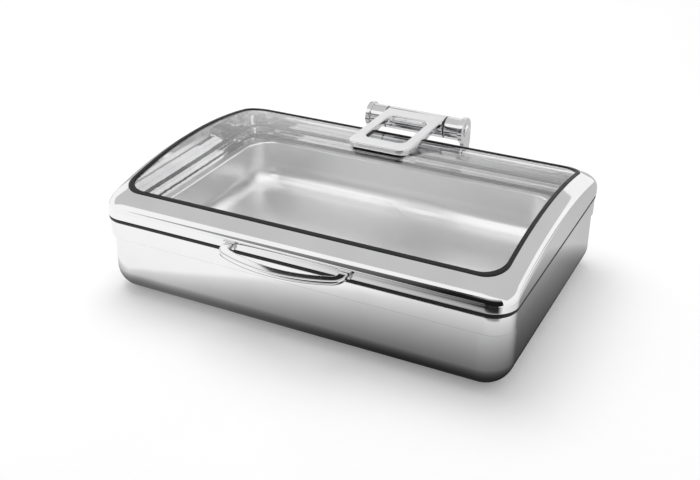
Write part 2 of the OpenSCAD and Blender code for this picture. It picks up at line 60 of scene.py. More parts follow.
# Fineness of the modelled meshes
CORNER_STEPS = 20
SIDE_CUTS = 28
BEND_STEP = math.radians(7.5)
BEND_LENGTH = 1.2 * MM
HOLD = 1.2 * MM
SHARP_ANGLE = math.radians(38)
HARD_ANGLE = math.radians(50)
TURNED_STEPS = 72
EDGE_STEPS = 4
CARD_CUTS = 7
# Points nearer than the first are welded, and lengths under the second count as none
WELD = 0.002 * MM
HAIR = 0.01 * MM
# Most values of a noise lie between these
NOISE_LOW, NOISE_HIGH = 0.3, 0.7
# Corners of a rectangle in order, as signs of its half sizes
SIGNS = ((-1, -1), (1, -1), (1, 1), (-1, 1))

HINGE_AT = Vector(frame["record"]["behaviour"]["joints"][0]["pos_m"])
# Places of the bracket's inner and outer screws, as shares of its half width
BRACKET_COLUMNS = (0.36, 0.86)


class Rise(Enum):
    """How a line round the lid follows the arch of the pane."""

    LEVEL = "level"
    EASED = "eased"
    ARCHED = "arched"


class Body(Enum):
    """Moving bodies of the part, by their names in the frame."""

    DISH = "dish"
    LID = "lid"
    FOOD_PAN = "food_pan"


class Axis(Enum):
    """Directions that turned pieces lie along, as the turn that takes +X there."""

    RIGHT = Matrix.Identity(4)
    LEFT = Matrix.Rotation(math.pi, 4, "Z")
    FORWARD = Matrix.Rotation(-math.pi / 2, 4, "Z")
    UP = Matrix.Rotation(-math.pi / 2, 4, "Y")


class Change(Enum):
    """What one solid does to another when they are combined."""

    ADD = "UNION"
    CUT = "DIFFERENCE"


def linear(code: str) -> tuple[float, float, float, float]:
    """Turns an sRGB hex colour into linear values.

    Args:
        code: The colour as six hex digits after a hash sign.

    Returns:
        Linear red, green and blue, and an alpha of 1.
    """
    parts = [int(code[i:i + 2], 16) / 255 for i in (1, 3, 5)]
    red, green, blue = (p / 12.92 if p <= 0.04045 else ((p + 0.055) / 1.055) ** 2.4 for p in parts)
    return red, green, blue, 1.0


def add_node(tree: NodeTree, kind: str, inputs: dict | None = None, **settings: object) -> Node:
    """Adds a shader node, with its settings, values and links.

    Args:
        tree: The node tree that gets the node.
        kind: The node's type name after "ShaderNode".
        inputs: Values or linked output sockets, by input name or number.
        settings: Properties of the node itself.

    Returns:
        The new node.
    """
    node = tree.nodes.new("ShaderNode" + kind)
    for name, value in settings.items():
        setattr(node, name, value)
    for name, value in (inputs or {}).items():
        if isinstance(value, NodeSocket):
            tree.links.new(value, node.inputs[name])
        else:
            node.inputs[name].default_value = value
    return node


def new_tree(name: str) -> tuple[Material, NodeTree]:
    """Makes an empty node material.

    Args:
        name: The material's name.

    Returns:
        The material and its node tree.
    """
    material = bpy.data.materials.new(name)
    material.use_nodes = True
    material.node_tree.nodes.clear()
    return material, material.node_tree


def grain(tree: NodeTree, size: tuple[float, float, float], detail: float) -> NodeSocket:
    """Adds a noise pattern whose features have a real size along each axis.

    Args:
        tree: The material's node tree.
        size: Length of the pattern's features along X, Y and Z, in metres.
        detail: Octaves of finer noise.

    Returns:
        The noise value, from 0 to 1.
    """
    place = add_node(tree, "TexCoord")
    scaled = add_node(tree, "Mapping", {"Vector": place.outputs["Object"], "Scale": [1 / s for s in size]})
    noise = add_node(tree, "TexNoise", {"Vector": scaled.outputs["Vector"], "Scale": 1.0, "Detail": detail})
    return noise.outputs["Fac"]


def ramp(tree: NodeTree, value: NodeSocket, low: float, high: float) -> NodeSocket:
    """Spreads the middle of a noise value over the range from low to high."""
    spread = add_node(tree, "MapRange", {"Value": value, 1: NOISE_LOW, 2: NOISE_HIGH, 3: low, 4: high})
    return spread.outputs["Result"]


def tint(tree: NodeTree, value: NodeSocket, dark: str, pale: str) -> NodeSocket:
    """Varies a colour with a noise value.

    Args:
        tree: The material's node tree.
        value: The noise value.
        dark: Hex colour where the noise is low.
        pale: Hex colour where the noise is high.

    Returns:
        The colour.
    """
    mix = add_node(tree, "ValToRGB", {"Fac": value})
    low, high = mix.color_ramp.elements
    low.position, low.color = NOISE_LOW, linear(dark)
    high.position, high.color = NOISE_HIGH, linear(pale)
    return mix.outputs["Color"]


@dataclass(frozen=True)
class MetalFinish:
    """Bare or plated metal: lines from polishing or brushing, and patches left by handling."""

    name: str
    slot: str
    dark: str
    pale: str
    smooth: float
    rough: float
    line: tuple[float, float, float]
    line_depth: float
    patch: float = 90 * MM
    patch_share: float = 0.4

    @cache
    def material(self) -> Material:
        """Builds the finish's material.

        Returns:
            The material, made once.
        """
        material, tree = new_tree(self.name)
        lines = grain(tree, self.line, 2.0)
        patches = grain(tree, (self.patch,) * 3, 3.0)
        step = self.rough - self.smooth
        lined = ramp(tree, lines, self.smooth, self.smooth + step * (1 - self.patch_share))
        patched = ramp(tree, patches, 0.0, step * self.patch_share)
        rough = add_node(tree, "Math", {0: lined, 1: patched}, operation="ADD")
        relief = add_node(tree, "Bump", {"Height": lines, "Strength": 0.35, "Distance": self.line_depth})
        shader = add_node(tree, "BsdfPrincipled", {
            "Base Color": tint(tree, patches, self.dark, self.pale),
            "Metallic": 1.0,
            "Roughness": rough.outputs["Value"],
            "Normal": relief.outputs["Normal"],
        })
        add_node(tree, "OutputMaterial", {"Surface": shader.outputs["BSDF"]})
        return material


@dataclass(frozen=True)
class MouldedFinish:
    """Moulded rubber or plastic: one colour with a faint bloom and a fine skin."""

    name: str
    slot: str
    dark: str
    pale: str
    smooth: float
    rough: float
    skin: float
    skin_depth: float
    bloom: float = 14 * MM

    @cache
    def material(self) -> Material:
        """Builds the finish's material.

        Returns:
            The material, made once.
        """
        material, tree = new_tree(self.name)
        bloom = grain(tree, (self.bloom,) * 3, 3.0)
        skin = grain(tree, (self.skin,) * 3, 2.0)
        relief = add_node(tree, "Bump", {"Height": skin, "Strength": 0.5, "Distance": self.skin_depth})
        shader = add_node(tree, "BsdfPrincipled", {
            "Base Color": tint(tree, bloom, self.dark, self.pale),
            "Roughness": ramp(tree, bloom, self.smooth, self.rough),
            "Normal": relief.outputs["Normal"],
        })
        add_node(tree, "OutputMaterial", {"Surface": shader.outputs["BSDF"]})
        return material


@dataclass(frozen=True)
class GlassFinish:
    """Float glass that lets lamp light through, with faint wipe marks."""

    name: str
    slot: str
    colour: str
    wipe: tuple[float, float, float]
    haze: float
    ior: float = 1.52

    @cache
    def material(self) -> Material:
        """Builds the finish's material.

        Returns:
            The material, made once.
        """
        material, tree = new_tree(self.name)
        wiped = grain(tree, self.wipe, 3.0)
        pane = add_node(tree, "BsdfPrincipled", {
            "Base Color": linear(self.colour),
            "Roughness": ramp(tree, wiped, 0.0, self.haze),
            "IOR": self.ior,
            "Transmission Weight": 1.0,
        })
        clear = add_node(tree, "BsdfTransparent", {"Color": linear(self.colour)})
        path = add_node(tree, "LightPath")
        mix = add_node(tree, "MixShader", {
            "Fac": path.outputs["Is Shadow Ray"],
            1: pane.outputs["BSDF"],
            2: clear.outputs["BSDF"],
        })
        add_node(tree, "OutputMaterial", {"Surface": mix.outputs["Shader"]})
        return material


Finish = MetalFinish | MouldedFinish | GlassFinish

# Drawn stainless steel, polished: a clear mirror that softens where hands and cloths have been
POLISHED_STEEL = MetalFinish(
    "polished_stainless_steel", "polished_steel", "#EDEDEE", "#F5F5F6", 0.03, 0.08,
    (60 * MM, 60 * MM, 1.2 * MM), 0.0015 * MM)
# Drawn stainless steel, satin: lines drawn coarser than the real 0.3 mm so that they show
SATIN_STEEL = MetalFinish(
    "satin_stainless_steel", "satin_steel", "#F3F3F4", "#FAFAFA", 0.30, 0.40,
    (50 * MM, 1.4 * MM, 1.4 * MM), 0.006 * MM)
# Chrome plate on a cast arm: brighter and sharper than the steel, with a faint ripple from the casting
HINGE_CHROME = MetalFinish(
    "chrome_plated_casting", "hinge_chrome", "#EFEFF0", "#F6F6F7", 0.04, 0.11,
    (9 * MM, 9 * MM, 9 * MM), 0.01 * MM, 40 * MM)
# Ground magnetic steel: dull grey with long grinding lines
MAGNETIC_STEEL = MetalFinish(
    "ground_magnetic_steel", "magnetic_steel", "#9C9D9E", "#B0B1B2", 0.32, 0.48,
    (80 * MM, 1.0 * MM, 1.0 * MM), 0.01 * MM)
# Machined stainless steel of screws, pin and plates: fine turning marks
FASTENER_STEEL = MetalFinish(
    "machined_stainless_steel", "fastener_steel", "#BFC0C1", "#D0D1D2", 0.20, 0.32,
    (0.8 * MM, 6 * MM, 6 * MM), 0.005 * MM, 20 * MM)
# Turned brass of the bushes: warm yellow with fine turning marks
BUSH_BRASS = MetalFinish(
    "turned_brass", "bush_brass", "#B68E45", "#CDA75C", 0.22, 0.34,
    (0.6 * MM, 5 * MM, 5 * MM), 0.005 * MM, 12 * MM)
# Moulded black rubber: near black and dull, with a pale bloom in patches
BLACK_RUBBER = MouldedFinish(
    "moulded_black_rubber", "black_rubber", "#0D0D0E", "#191A1B", 0.42, 0.58, 0.5 * MM, 0.02 * MM)
# Moulded nylon of the washers: dark grey with a waxy skin
NYLON = MouldedFinish(
    "moulded_nylon", "nylon", "#3A3A3B", "#474748", 0.38, 0.5, 0.6 * MM, 0.02 * MM)
# Moulded plastic of the damper: glossy black
DAMPER_PLASTIC = MouldedFinish(
    "moulded_damper_plastic", "damper_plastic", "#151516", "#202122", 0.18, 0.3, 0.8 * MM, 0.01 * MM)
# Pressed friction lining: brown, coarse and dull
FRICTION_LINING = MouldedFinish(
    "pressed_friction_lining", "friction_lining", "#4A3222", "#6B4A31", 0.7, 0.9, 0.9 * MM, 0.05 * MM)
# Tempered clear glass: colourless, with wipe marks that hardly show
CLEAR_GLASS = GlassFinish(
    "tempered_clear_glass", "clear_glass", "#FEFEFE", (120 * MM, 14 * MM, 40 * MM), 0.004)

NODE_FINISHES: dict[str, Finish] = {
    "induction_base": MAGNETIC_STEEL,
    "bracket_backing": MAGNETIC_STEEL,
    "bush_left": BUSH_BRASS,
    "bush_right": BUSH_BRASS,
    "thrust_washer_left": NYLON,
    "thrust_washer_right": NYLON,
    "damper_housing": DAMPER_PLASTIC,
    "damper_rotor": DAMPER_PLASTIC,
    "friction_discs": FRICTION_LINING,
    "hinge_pin": FASTENER_STEEL,
    "clamp_plate": FASTENER_STEEL,
}


@dataclass(frozen=True)
class Bend:
    """Corner of a section: inset from the plan's edge, height, rounding and the line it follows."""

    inset: float
    z: float
    radius: float = 0.0
    rise: Rise = Rise.LEVEL


def rounded(bends: Sequence[Bend], closed: bool = False) -> list[Bend]:
    """Rounds the corners of a section and holds its straight stretches flat.

    Args:
        bends: The section's corners in order.
        closed: True if the last corner joins the first.

    Returns:
        Points along the section.
    """
    points: list[Bend] = []
    for i, bend in enumerate(bends):
        free_end = not closed and i in (0, len(bends) - 1)
        if free_end or bend.radius == 0:
            points.append(bend)
            continue
        at = Vector((bend.inset, bend.z))
        before = bends[i - 1]
        after = bends[(i + 1) % len(bends)]
        back = (Vector((before.inset, before.z)) - at).normalized()
        ahead = (Vector((after.inset, after.z)) - at).normalized()
        half = back.angle(ahead) / 2
        centre = at + (back + ahead).normalized() * bend.radius / math.sin(half)
        arm = at + back * bend.radius / math.tan(half) - centre
        turn = math.pi - 2 * half
        steps = max(2, round(turn / BEND_STEP), round(turn * bend.radius / BEND_LENGTH))
        way = math.copysign(turn / steps, back.x * ahead.y - back.y * ahead.x)
        for step in range(steps + 1):
            point = centre + Matrix.Rotation(-way * step, 2) @ arm
            points.append(Bend(point.x, point.y, 0.0, bend.rise))
    return held(points, closed)


def held(points: Sequence[Bend], closed: bool) -> list[Bend]:
    """Adds a point near each end of a long straight stretch, so that it shades flat.

    Args:
        points: Points along a section.
        closed: True if the last point joins the first.

    Returns:
        The points with those added.
    """
    result: list[Bend] = []
    for i, point in enumerate(points):
        result.append(point)
        if i + 1 == len(points) and not closed:
            break
        after = points[(i + 1) % len(points)]
        length = math.hypot(after.inset - point.inset, after.z - point.z)
        if length < 4 * HOLD:
            continue
        for share, rise in ((HOLD / length, point.rise), (1 - HOLD / length, after.rise)):
            inset = point.inset + share * (after.inset - point.inset)
            z = point.z + share * (after.z - point.z)
            result.append(Bend(inset, z, 0.0, rise))
    return result


def round_corners(bm: BMesh, corners: Sequence[BMVert], radius: float, steps: int) -> None:
    """Rounds corners of a flat face in so many steps."""
    bmesh.ops.bevel(
        bm, geom=list(corners), offset=radius, offset_type="OFFSET", segments=steps, profile=0.5,
        affect="VERTICES", material=-1)


def extruded(bm: BMesh, ring: Sequence[BMEdge]) -> tuple[set[BMVert], list[BMEdge]]:
    """Extrudes a ring of edges and leaves the new one in place.

    Args:
        bm: The mesh that holds the ring.
        ring: The ring's edges.

    Returns:
        The new ring's vertices and edges.
    """
    made = bmesh.ops.extrude_edge_only(bm, edges=list(ring))["geom"]
    verts = {g for g in made if isinstance(g, BMVert)}
    return verts, [g for g in made if isinstance(g, BMEdge) and set(g.verts) <= verts]


def cut_across(bm: BMesh, y: float) -> None:
    """Cuts a mesh's faces where they cross the plane at y."""
    everything = bm.verts[:] + bm.edges[:] + bm.faces[:]
    bmesh.ops.bisect_plane(bm, geom=everything, dist=HAIR, plane_co=(0, y, 0), plane_no=(0, 1, 0))


def no_rise(rise: Rise, y: float) -> float:
    """Keeps a line level at every y."""
    return 0.0


Lift = Callable[[Rise, float], float]


@dataclass(frozen=True)
class Outline:
    """Rounded rectangle by its half sizes and its corner radius."""

    half_w: float
    half_d: float
    radius: float

    def corners(self, bm: BMesh, z: float) -> list[BMEdge]:
        """Adds the outline as a closed ring of edges.

        Args:
            bm: The mesh that gets the ring.
            z: Its height.

        Returns:
            The ring's edges.
        """
        corners = [bm.verts.new((x * self.half_w, y * self.half_d, z)) for x, y in SIGNS]
        bm.faces.new(corners)
        round_corners(bm, corners, self.radius, CORNER_STEPS)
        bmesh.ops.delete(bm, geom=bm.faces[:], context="FACES_ONLY")
        sides = sorted(bm.edges, key=lambda e: e.calc_length())[-4:]
        bmesh.ops.subdivide_edges(bm, edges=sides, cuts=SIDE_CUTS)
        return bm.edges[:]

    def refit(self, point: Vector, other: "Outline") -> tuple[float, float]:
        """Carries a point of this outline over to another one.

        Args:
            point: A point on this outline.
            other: The other outline.

        Returns:
            The matching x and y on the other outline.
        """
        moved = []
        for value, old, new in ((point.x, self.half_w, other.half_w), (point.y, self.half_d, other.half_d)):
            flat, new_flat = old - self.radius, new - other.radius
            past = abs(value) - flat
            on_side = new_flat / flat * abs(value)
            in_corner = new_flat + past * other.radius / self.radius
            moved.append(math.copysign(on_side if past <= 0 else in_corner, value))
        return moved[0], moved[1]


@dataclass(frozen=True)
class Plan:
    """Rounded rectangle seen from above, with others inside it at an inset."""

    width: float
    depth: float
    corner_r: float
    side_share: float = 1.0
    corner_share: float = 1.0

    def outline(self, inset: float) -> Outline:
        """Outline at an inset from the plan's edge."""
        half_w = self.width / 2 - self.side_share * inset
        return Outline(half_w, self.depth / 2 - inset, self.corner_r - self.corner_share * inset)


def sweep(
        stretches: Sequence[tuple[Plan, Sequence[Bend]]], lift: Lift = no_rise, closed: bool = False,
) -> BMesh:
    """Sweeps a section round one or more plans, ring by ring.

    Args:
        stretches: Plans with the section points that lie round them.
        lift: Height added at each y by kind of line.
        closed: True if the last ring joins the first; otherwise a floor closes each of them.

    Returns:
        The swept mesh.
    """
    stops = [(plan.outline(point.inset), point) for plan, points in stretches for point in points]
    if closed:
        stops.append(stops[0])
    bm = bmesh.new()
    here, start = stops[0]
    first = ring = here.corners(bm, start.z)
    for vert in bm.verts:
        vert.co.z += lift(start.rise, vert.co.y)
    for outline, point in stops[1:]:
        verts, ring = extruded(bm, ring)
        for vert in verts:
            x, y = here.refit(vert.co, outline)
            vert.co = (x, y, point.z + lift(point.rise, y))
        here = outline
    if closed:
        bmesh.ops.remove_doubles(bm, verts=bm.verts, dist=WELD)
        return bm
    for end in (first, ring):
        floor = bmesh.ops.contextual_create(bm, geom=end)["faces"]
        bmesh.ops.inset_region(bm, faces=floor, thickness=HOLD, use_even_offset=True)
    return bm


def turned(profile: Sequence[Bend], place: Matrix) -> BMesh:
    """Makes a turned piece: a section spun round X, with its inset along X and its height as radius.

    Args:
        profile: The section's corners; its ends lie on the axis or on each other.
        place: Where the piece goes.

    Returns:
        The piece's mesh.
    """
    bm = bmesh.new()
    verts = [bm.verts.new((p.inset, 0, p.z)) for p in rounded(profile)]
    edges = [bm.edges.new(pair) for pair in zip(verts, verts[1:])]
    bmesh.ops.spin(
        bm, geom=verts + edges, cent=(0, 0, 0), axis=(1, 0, 0), angle=2 * math.pi, steps=TURNED_STEPS,
        use_merge=True, use_duplicate=False)
    bmesh.ops.remove_doubles(bm, verts=bm.verts, dist=WELD)
    bmesh.ops.dissolve_degenerate(bm, edges=bm.edges, dist=WELD)
    bmesh.ops.recalc_face_normals(bm, faces=bm.faces)
    bmesh.ops.transform(bm, matrix=place, verts=bm.verts)
    return bm


def join(bm: BMesh, piece: BMesh, place: Matrix) -> None:
    """Moves a piece to its place, adds it to a mesh and frees it.

    Args:
        bm: The mesh that gets the piece.
        piece: The mesh to add.
        place: Where the piece goes.
    """
    bmesh.ops.transform(piece, matrix=place, verts=piece.verts)
    carrier = bpy.data.meshes.new("carrier")
    piece.to_mesh(carrier)
    piece.free()
    bm.from_mesh(carrier)
    bpy.data.meshes.remove(carrier)


def combine(base: BMesh, tool: BMesh, change: Change) -> BMesh:
    """Adds one closed mesh to another, or cuts it out.

    Args:
        base: The mesh that is changed; it is freed.
        tool: The mesh that is added or cut out; it is freed.
        change: Which of the two.

    Returns:
        The combined mesh.
    """
    objects = []
    for bm in (base, tool):
        mesh = bpy.data.meshes.new("carrier")
        bm.to_mesh(mesh)
        bm.free()
        carrier = bpy.data.objects.new("carrier", mesh)
        bpy.context.scene.collection.objects.link(carrier)
        objects.append(carrier)
    modifier = objects[0].modifiers.new("combine", "BOOLEAN")
    modifier.object = objects[1]
    modifier.operation = change.value
    modifier.solver = "EXACT"
    result = bmesh.new()
    result.from_object(objects[0], bpy.context.evaluated_depsgraph_get())
    for carrier in objects:
        mesh = carrier.data
        bpy.data.objects.remove(carrier)
        bpy.data.meshes.remove(mesh)
    return result


def rim_edges(bm: BMesh) -> list[BMEdge]:
    """Finds the hard edges of a solid."""
    return [e for e in bm.edges if e.is_manifold and e.calc_face_angle() > HARD_ANGLE]


def soften(bm: BMesh, radius: float, edges: Sequence[BMEdge] | None = None) -> None:
    """Rounds the given edges of a mesh, or all its hard ones."""
    chosen = list(edges) if edges is not None else rim_edges(bm)
    bmesh.ops.bevel(
        bm, geom=chosen, offset=radius, offset_type="OFFSET", segments=EDGE_STEPS, profile=0.5,
        affect="EDGES", material=-1, clamp_overlap=True)


def block(size: tuple[float, float, float], middle: tuple[float, float, float], radius: float) -> BMesh:
    """Makes a block with rounded edges.

    Args:
        size: Length along X, Y and Z.
        middle: The block's middle.
        radius: Rounding of its edges.

    Returns:
        The block's mesh.
    """
    bm = bmesh.new()
    bmesh.ops.create_cube(bm, size=1.0)
    bmesh.ops.scale(bm, vec=size, verts=bm.verts)
    bmesh.ops.translate(bm, vec=middle, verts=bm.verts)
    soften(bm, radius)
    return bm


def prism(outline: BMesh, height: Vector) -> None:
    """Turns a flat face into a solid.

    Args:
        outline: Mesh with the flat faces, which is changed.
        height: How far and which way the solid stands up from them.
    """
    made = bmesh.ops.extrude_face_region(outline, geom=outline.faces[:], use_keep_orig=True)
    moved = [v for v in made["geom"] if isinstance(v, BMVert)]
    bmesh.ops.translate(outline, vec=height, verts=moved)
    bmesh.ops.recalc_face_normals(outline, faces=outline.faces)


def show(name: str, bm: BMesh, body: Body, finish: Finish, *nodes: str) -> None:
    """Makes a finished mesh a piece of the object.

    Args:
        name: The piece's name.
        bm: Its mesh, in place; it is freed.
        body: The body that it rides on.
        finish: Its finish.
        nodes: The CAD nodes that it stands for.
    """
    bmesh.ops.recalc_face_normals(bm, faces=bm.faces)
    mesh = bpy.data.meshes.new(name)
    bm.to_mesh(mesh)
    bm.free()
    mesh.shade_smooth()
    mesh.set_sharp_from_angle(angle=SHARP_ANGLE)
    mesh.materials.append(finish.material())
    piece = bpy.data.objects.new(name, mesh)
    bpy.context.scene.collection.objects.link(piece)
    flat = piece.modifiers.new("flat_faces", "WEIGHTED_NORMAL")
    flat.mode = "FACE_AREA"
    flat.keep_sharp = True
    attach(piece, body.value)
    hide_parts(*nodes)
    LOG.info("%s rides on %s, %d faces", name, body.value, len(mesh.polygons))


@dataclass
class WaterPan:
    """Outer pan: drawn wall with a round bottom edge, a raised band, the rim and the ledge."""

    sheet: float = 1.2 * MM
    bottom_r: float = 34 * MM
    wall_corner_r: float = 38 * MM
    band_corner_r: float = 31.5 * MM
    band_h: float = 25 * MM
    band_step: float = 0.75 * MM
    band_turn: float = 0.6 * MM
    crease_r: float = 0.45 * MM
    rim_r: float = 0.8 * MM
    rim_land: float = 13.2 * MM
    ledge_drop: float = 6 * MM
    ledge_lip: float = 3 * MM
    ledge_r: float = 1.2 * MM
    hole: Plan = Plan(509 * MM, 304 * MM, 43.5 * MM)
    seal_inset: float = 1 * MM
    seal_w: float = 7 * MM
    seal_bulge: float = 1 * MM
    bulge_r: float = 0.8 * MM
    seal_outer_r: float = 0.5 * MM
    seal_inner_r: float = 1.6 * MM
    groove: float = 0.8 * MM
    groove_r: float = 0.4 * MM
    low: Vector = field(init=False)
    high: Vector = field(init=False)

    def __post_init__(self) -> None:
        """Takes the pan's place and outer size from the frame."""
        self.low, self.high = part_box("water_pan")

    def band(self) -> Plan:
        """Plan of the band and the rim."""
        size = self.high - self.low
        return Plan(size.x, size.y, self.band_corner_r)

    def wall(self) -> Plan:
        """Plan of the wall under the band."""
        size = self.high - self.low
        return Plan(size.x - 2 * self.band_step, size.y - 2 * self.band_step, self.wall_corner_r)

    def shell(self) -> None:
        """Builds the pan as one closed sheet."""
        t = self.sheet
        floor, top = self.low.z, self.high.z
        band_z, ledge = top - self.band_h, top - self.ledge_drop
        edge = self.crease_r
        lip = self.rim_land + self.ledge_lip
        outside = rounded([
            Bend(self.bottom_r, floor),
            Bend(0, floor, self.bottom_r),
            Bend(0, band_z),
        ])
        rim = rounded([
            Bend(self.band_turn, band_z),
            Bend(0, band_z, edge),
            Bend(0, top, self.rim_r),
            Bend(self.rim_land, top, self.ledge_r),
            Bend(self.rim_land, ledge, self.ledge_r),
            Bend(lip, ledge),
        ])
        under = rounded([
            Bend(lip, ledge - t),
            Bend(self.rim_land - t, ledge - t, edge),
            Bend(self.rim_land - t, top - t, edge),
            Bend(t, top - t, edge),
            Bend(t, band_z + t),
        ])
        inside = rounded([
            Bend(t, band_z + t),
            Bend(t, floor + t, self.bottom_r - t),
            Bend(self.bottom_r, floor + t),
        ])
        bm = sweep([
            (self.wall(), outside),
            (self.band(), rim),
            (self.hole, [Bend(0, ledge), Bend(0, ledge - t)]),
            (self.band(), under),
            (self.wall(), inside),
        ])
        show("water_pan_shell", bm, Body.DISH, POLISHED_STEEL, "water_pan")

    def seal(self) -> None:
        """Builds the rubber seal on the rim, which bulges under the lid and has a groove along its top."""
        low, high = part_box("lid_seal")
        inner = self.seal_inset + self.seal_w
        middle = (self.seal_inset + inner) / 2
        section = rounded([
            Bend(self.seal_inset, low.z),
            Bend(-self.seal_bulge, low.z + self.bulge_r, self.bulge_r),
            Bend(-self.seal_bulge, high.z - self.bulge_r, self.bulge_r),
            Bend(self.seal_inset, high.z, self.seal_outer_r),
            Bend(middle - self.groove, high.z, self.groove_r),
            Bend(middle, high.z - self.groove, self.groove_r),
            Bend(middle + self.groove, high.z, self.groove_r),
            Bend(inner, high.z, self.seal_inner_r),
            Bend(inner, low.z),
        ], closed=True)
        bm = sweep([(self.band(), section)], closed=True)
        show("lid_seal_bead", bm, Body.DISH, BLACK_RUBBER, "lid_seal")

    def build(self) -> None:
        """Builds the pan and its seal."""
        self.shell()
        self.seal()


@dataclass
class FoodPan:
    """Lift-out pan that hangs by the turned-down edge of its rim."""

    sheet: float = 1 * MM
    rim: float = 12 * MM
    corner_r: float = 42 * MM
    floor_r: float = 24 * MM
    lip: float = 2 * MM
    lip_r: float = 1 * MM
    hem_r: float = 0.3 * MM
    mouth_r: float = 2.5 * MM

    def build(self) -> None:
        """Builds the pan as one closed sheet."""
        low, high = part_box("food_pan")
        size = high - low
        cup = Plan(size.x - 2 * self.rim, size.y - 2 * self.rim, self.corner_r)
        t = self.sheet
        section = rounded([
            Bend(self.floor_r, low.z),
            Bend(0, low.z, self.floor_r),
            Bend(0, high.z - t, self.mouth_r - t),
            Bend(t - self.rim, high.z - t, self.hem_r),
            Bend(t - self.rim, high.z - self.lip),
            Bend(-self.rim, high.z - self.lip),
            Bend(-self.rim, high.z, self.lip_r),
            Bend(t, high.z, self.mouth_r),
            Bend(t, low.z + t, self.floor_r - t),
            Bend(self.floor_r, low.z + t),
        ])
        show("food_pan_shell", sweep([(cup, section)]), Body.FOOD_PAN, SATIN_STEEL, "food_pan")


@dataclass
class Lid:
    """Pressed frame, gasket and arched pane; the lid's bow handle is a piece of its own."""

    corner_r: float = 33 * MM
    skirt_h: float = 14 * MM
    # The first sets the frame's heights; the skin's own bend is rounder
    shoulder_r: float = 9 * MM
    skin_r: float = 18 * MM
    hem_r: float = 1.2 * MM
    mouth_r: float = 0.8 * MM
    fold_r: float = 0.4 * MM
    slope: float = math.radians(30)
    border: float = 25.5 * MM
    side: float = 21.5 * MM
    sheet: float = 1.2 * MM
    flange: float = 14 * MM
    arch_rise: float = 21.5 * MM
    arch_ease: float = 0.8 * MM
    gasket_corner_r: float = 30 * MM
    gasket_w: float = 6.5 * MM
    gasket_grip: float = 4.5 * MM
    gasket_lip: float = 1.3 * MM
    gasket_proud: float = 0.7 * MM
    gasket_foot_r: float = 0.3 * MM
    gasket_outer_r: float = 1.1 * MM
    gasket_inner_r: float = 1 * MM
    groove_play: float = 0.05 * MM
    glass_t: float = 4 * MM
    glass_edge: float = 0.4 * MM
    glass_rows: int = 48
    play: float = 0.25 * MM
    low: Vector = field(init=False)
    high: Vector = field(init=False)

    def __post_init__(self) -> None:
        """Takes the lid's place and size from the frame, and works out its heights."""
        self.low, self.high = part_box("lid_frame")
        reach = (self.high.y - self.low.y) / 2 - self.border
        self.arch_r = (reach ** 2 + self.arch_rise ** 2) / (2 * self.arch_rise)
        self.arch_drop = self.arch_r - self.arch_rise
        run = self.border - self.shoulder_r * (1 - math.sin(self.slope))
        self.shoulder_z = self.low.z + self.skirt_h
        self.top_z = self.shoulder_z + self.shoulder_r * math.cos(self.slope) + run * math.tan(self.slope)
        self.gasket_top = self.top_z + self.gasket_proud
        self.glass_top = self.gasket_top - self.gasket_lip
        self.seat_z = self.glass_top - self.glass_t - self.gasket_lip
        self.sight = self.border + self.gasket_w

    def plan(self) -> Plan:
        """Plan of the lid, whose sides are narrower than its front."""
        size = self.high - self.low
        ease = (self.corner_r - self.gasket_corner_r) / self.border
        return Plan(size.x, size.y, self.corner_r, self.side / self.border, ease)

    def arch(self, y: float) -> float:
        """Height of the pane's arch at y, over the frame's front edge."""
        return math.sqrt(self.arch_r ** 2 - y ** 2) - self.arch_drop

    def lift(self, rise: Rise, y: float) -> float:
        """Height that a line of the lid gains at y.

        Args:
            rise: The kind of line.
            y: Distance from the lid's middle.

        Returns:
            The height gained.
        """
        if rise is Rise.LEVEL:
            return 0.0
        arch = self.arch(y)
        if rise is Rise.ARCHED:
            return arch
        return (arch + math.hypot(arch, self.arch_ease)) / 2

    def slope_z(self, inset: float, depth: float = 0.0) -> float:
        """Height of the sloping skin at an inset, or of a line at a depth inside the sheet."""
        return self.top_z - (self.border - inset) * math.tan(self.slope) - depth / math.cos(self.slope)

    def frame_skin(self) -> None:
        """Builds the pressed frame as one closed sheet."""
        t = self.sheet
        section = rounded([
            Bend(self.flange, self.low.z),
            Bend(0, self.low.z, self.hem_r),
            Bend(0, self.slope_z(0), self.skin_r, Rise.EASED),
            Bend(self.border, self.top_z, self.mouth_r, Rise.EASED),
            Bend(self.border, self.seat_z, 0.0, Rise.ARCHED),
            Bend(self.sight, self.seat_z, 0.0, Rise.ARCHED),
            Bend(self.sight, self.seat_z - t, 0.0, Rise.ARCHED),
            Bend(self.border - t, self.seat_z - t, self.fold_r, Rise.ARCHED),
            Bend(self.border - t, self.slope_z(self.border - t, t), 0.0, Rise.EASED),
            Bend(t, self.slope_z(t, t), self.skin_r - t, Rise.EASED),
            Bend(t, self.low.z + t, self.fold_r),
            Bend(self.flange, self.low.z + t),
        ], closed=True)
        bm = sweep([(self.plan(), section)], self.lift, closed=True)
        show("lid_frame_skin", bm, Body.LID, POLISHED_STEEL, "lid_frame")

    def gasket(self) -> None:
        """Builds the rubber gasket with its groove for the pane."""
        outer = self.border + self.play
        grip = self.sight - self.gasket_grip - self.play
        groove_top = self.glass_top + self.groove_play
        groove_low = self.glass_top - self.glass_t - self.groove_play
        corners = [
            (outer, self.seat_z, self.gasket_foot_r),
            (outer, self.gasket_top, self.gasket_outer_r),
            (self.sight, self.gasket_top, self.gasket_inner_r),
            (self.sight, groove_top, 0),
            (grip, groove_top, 0),
            (grip, groove_low, 0),
            (self.sight, groove_low, 0),
            (self.sight, self.seat_z, self.gasket_foot_r),
        ]
        section = rounded([Bend(*corner, Rise.ARCHED) for corner in corners], closed=True)
        bm = sweep([(self.plan(), section)], self.lift, closed=True)
        show("glass_gasket_ring", bm, Body.LID, BLACK_RUBBER, "glass_gasket")

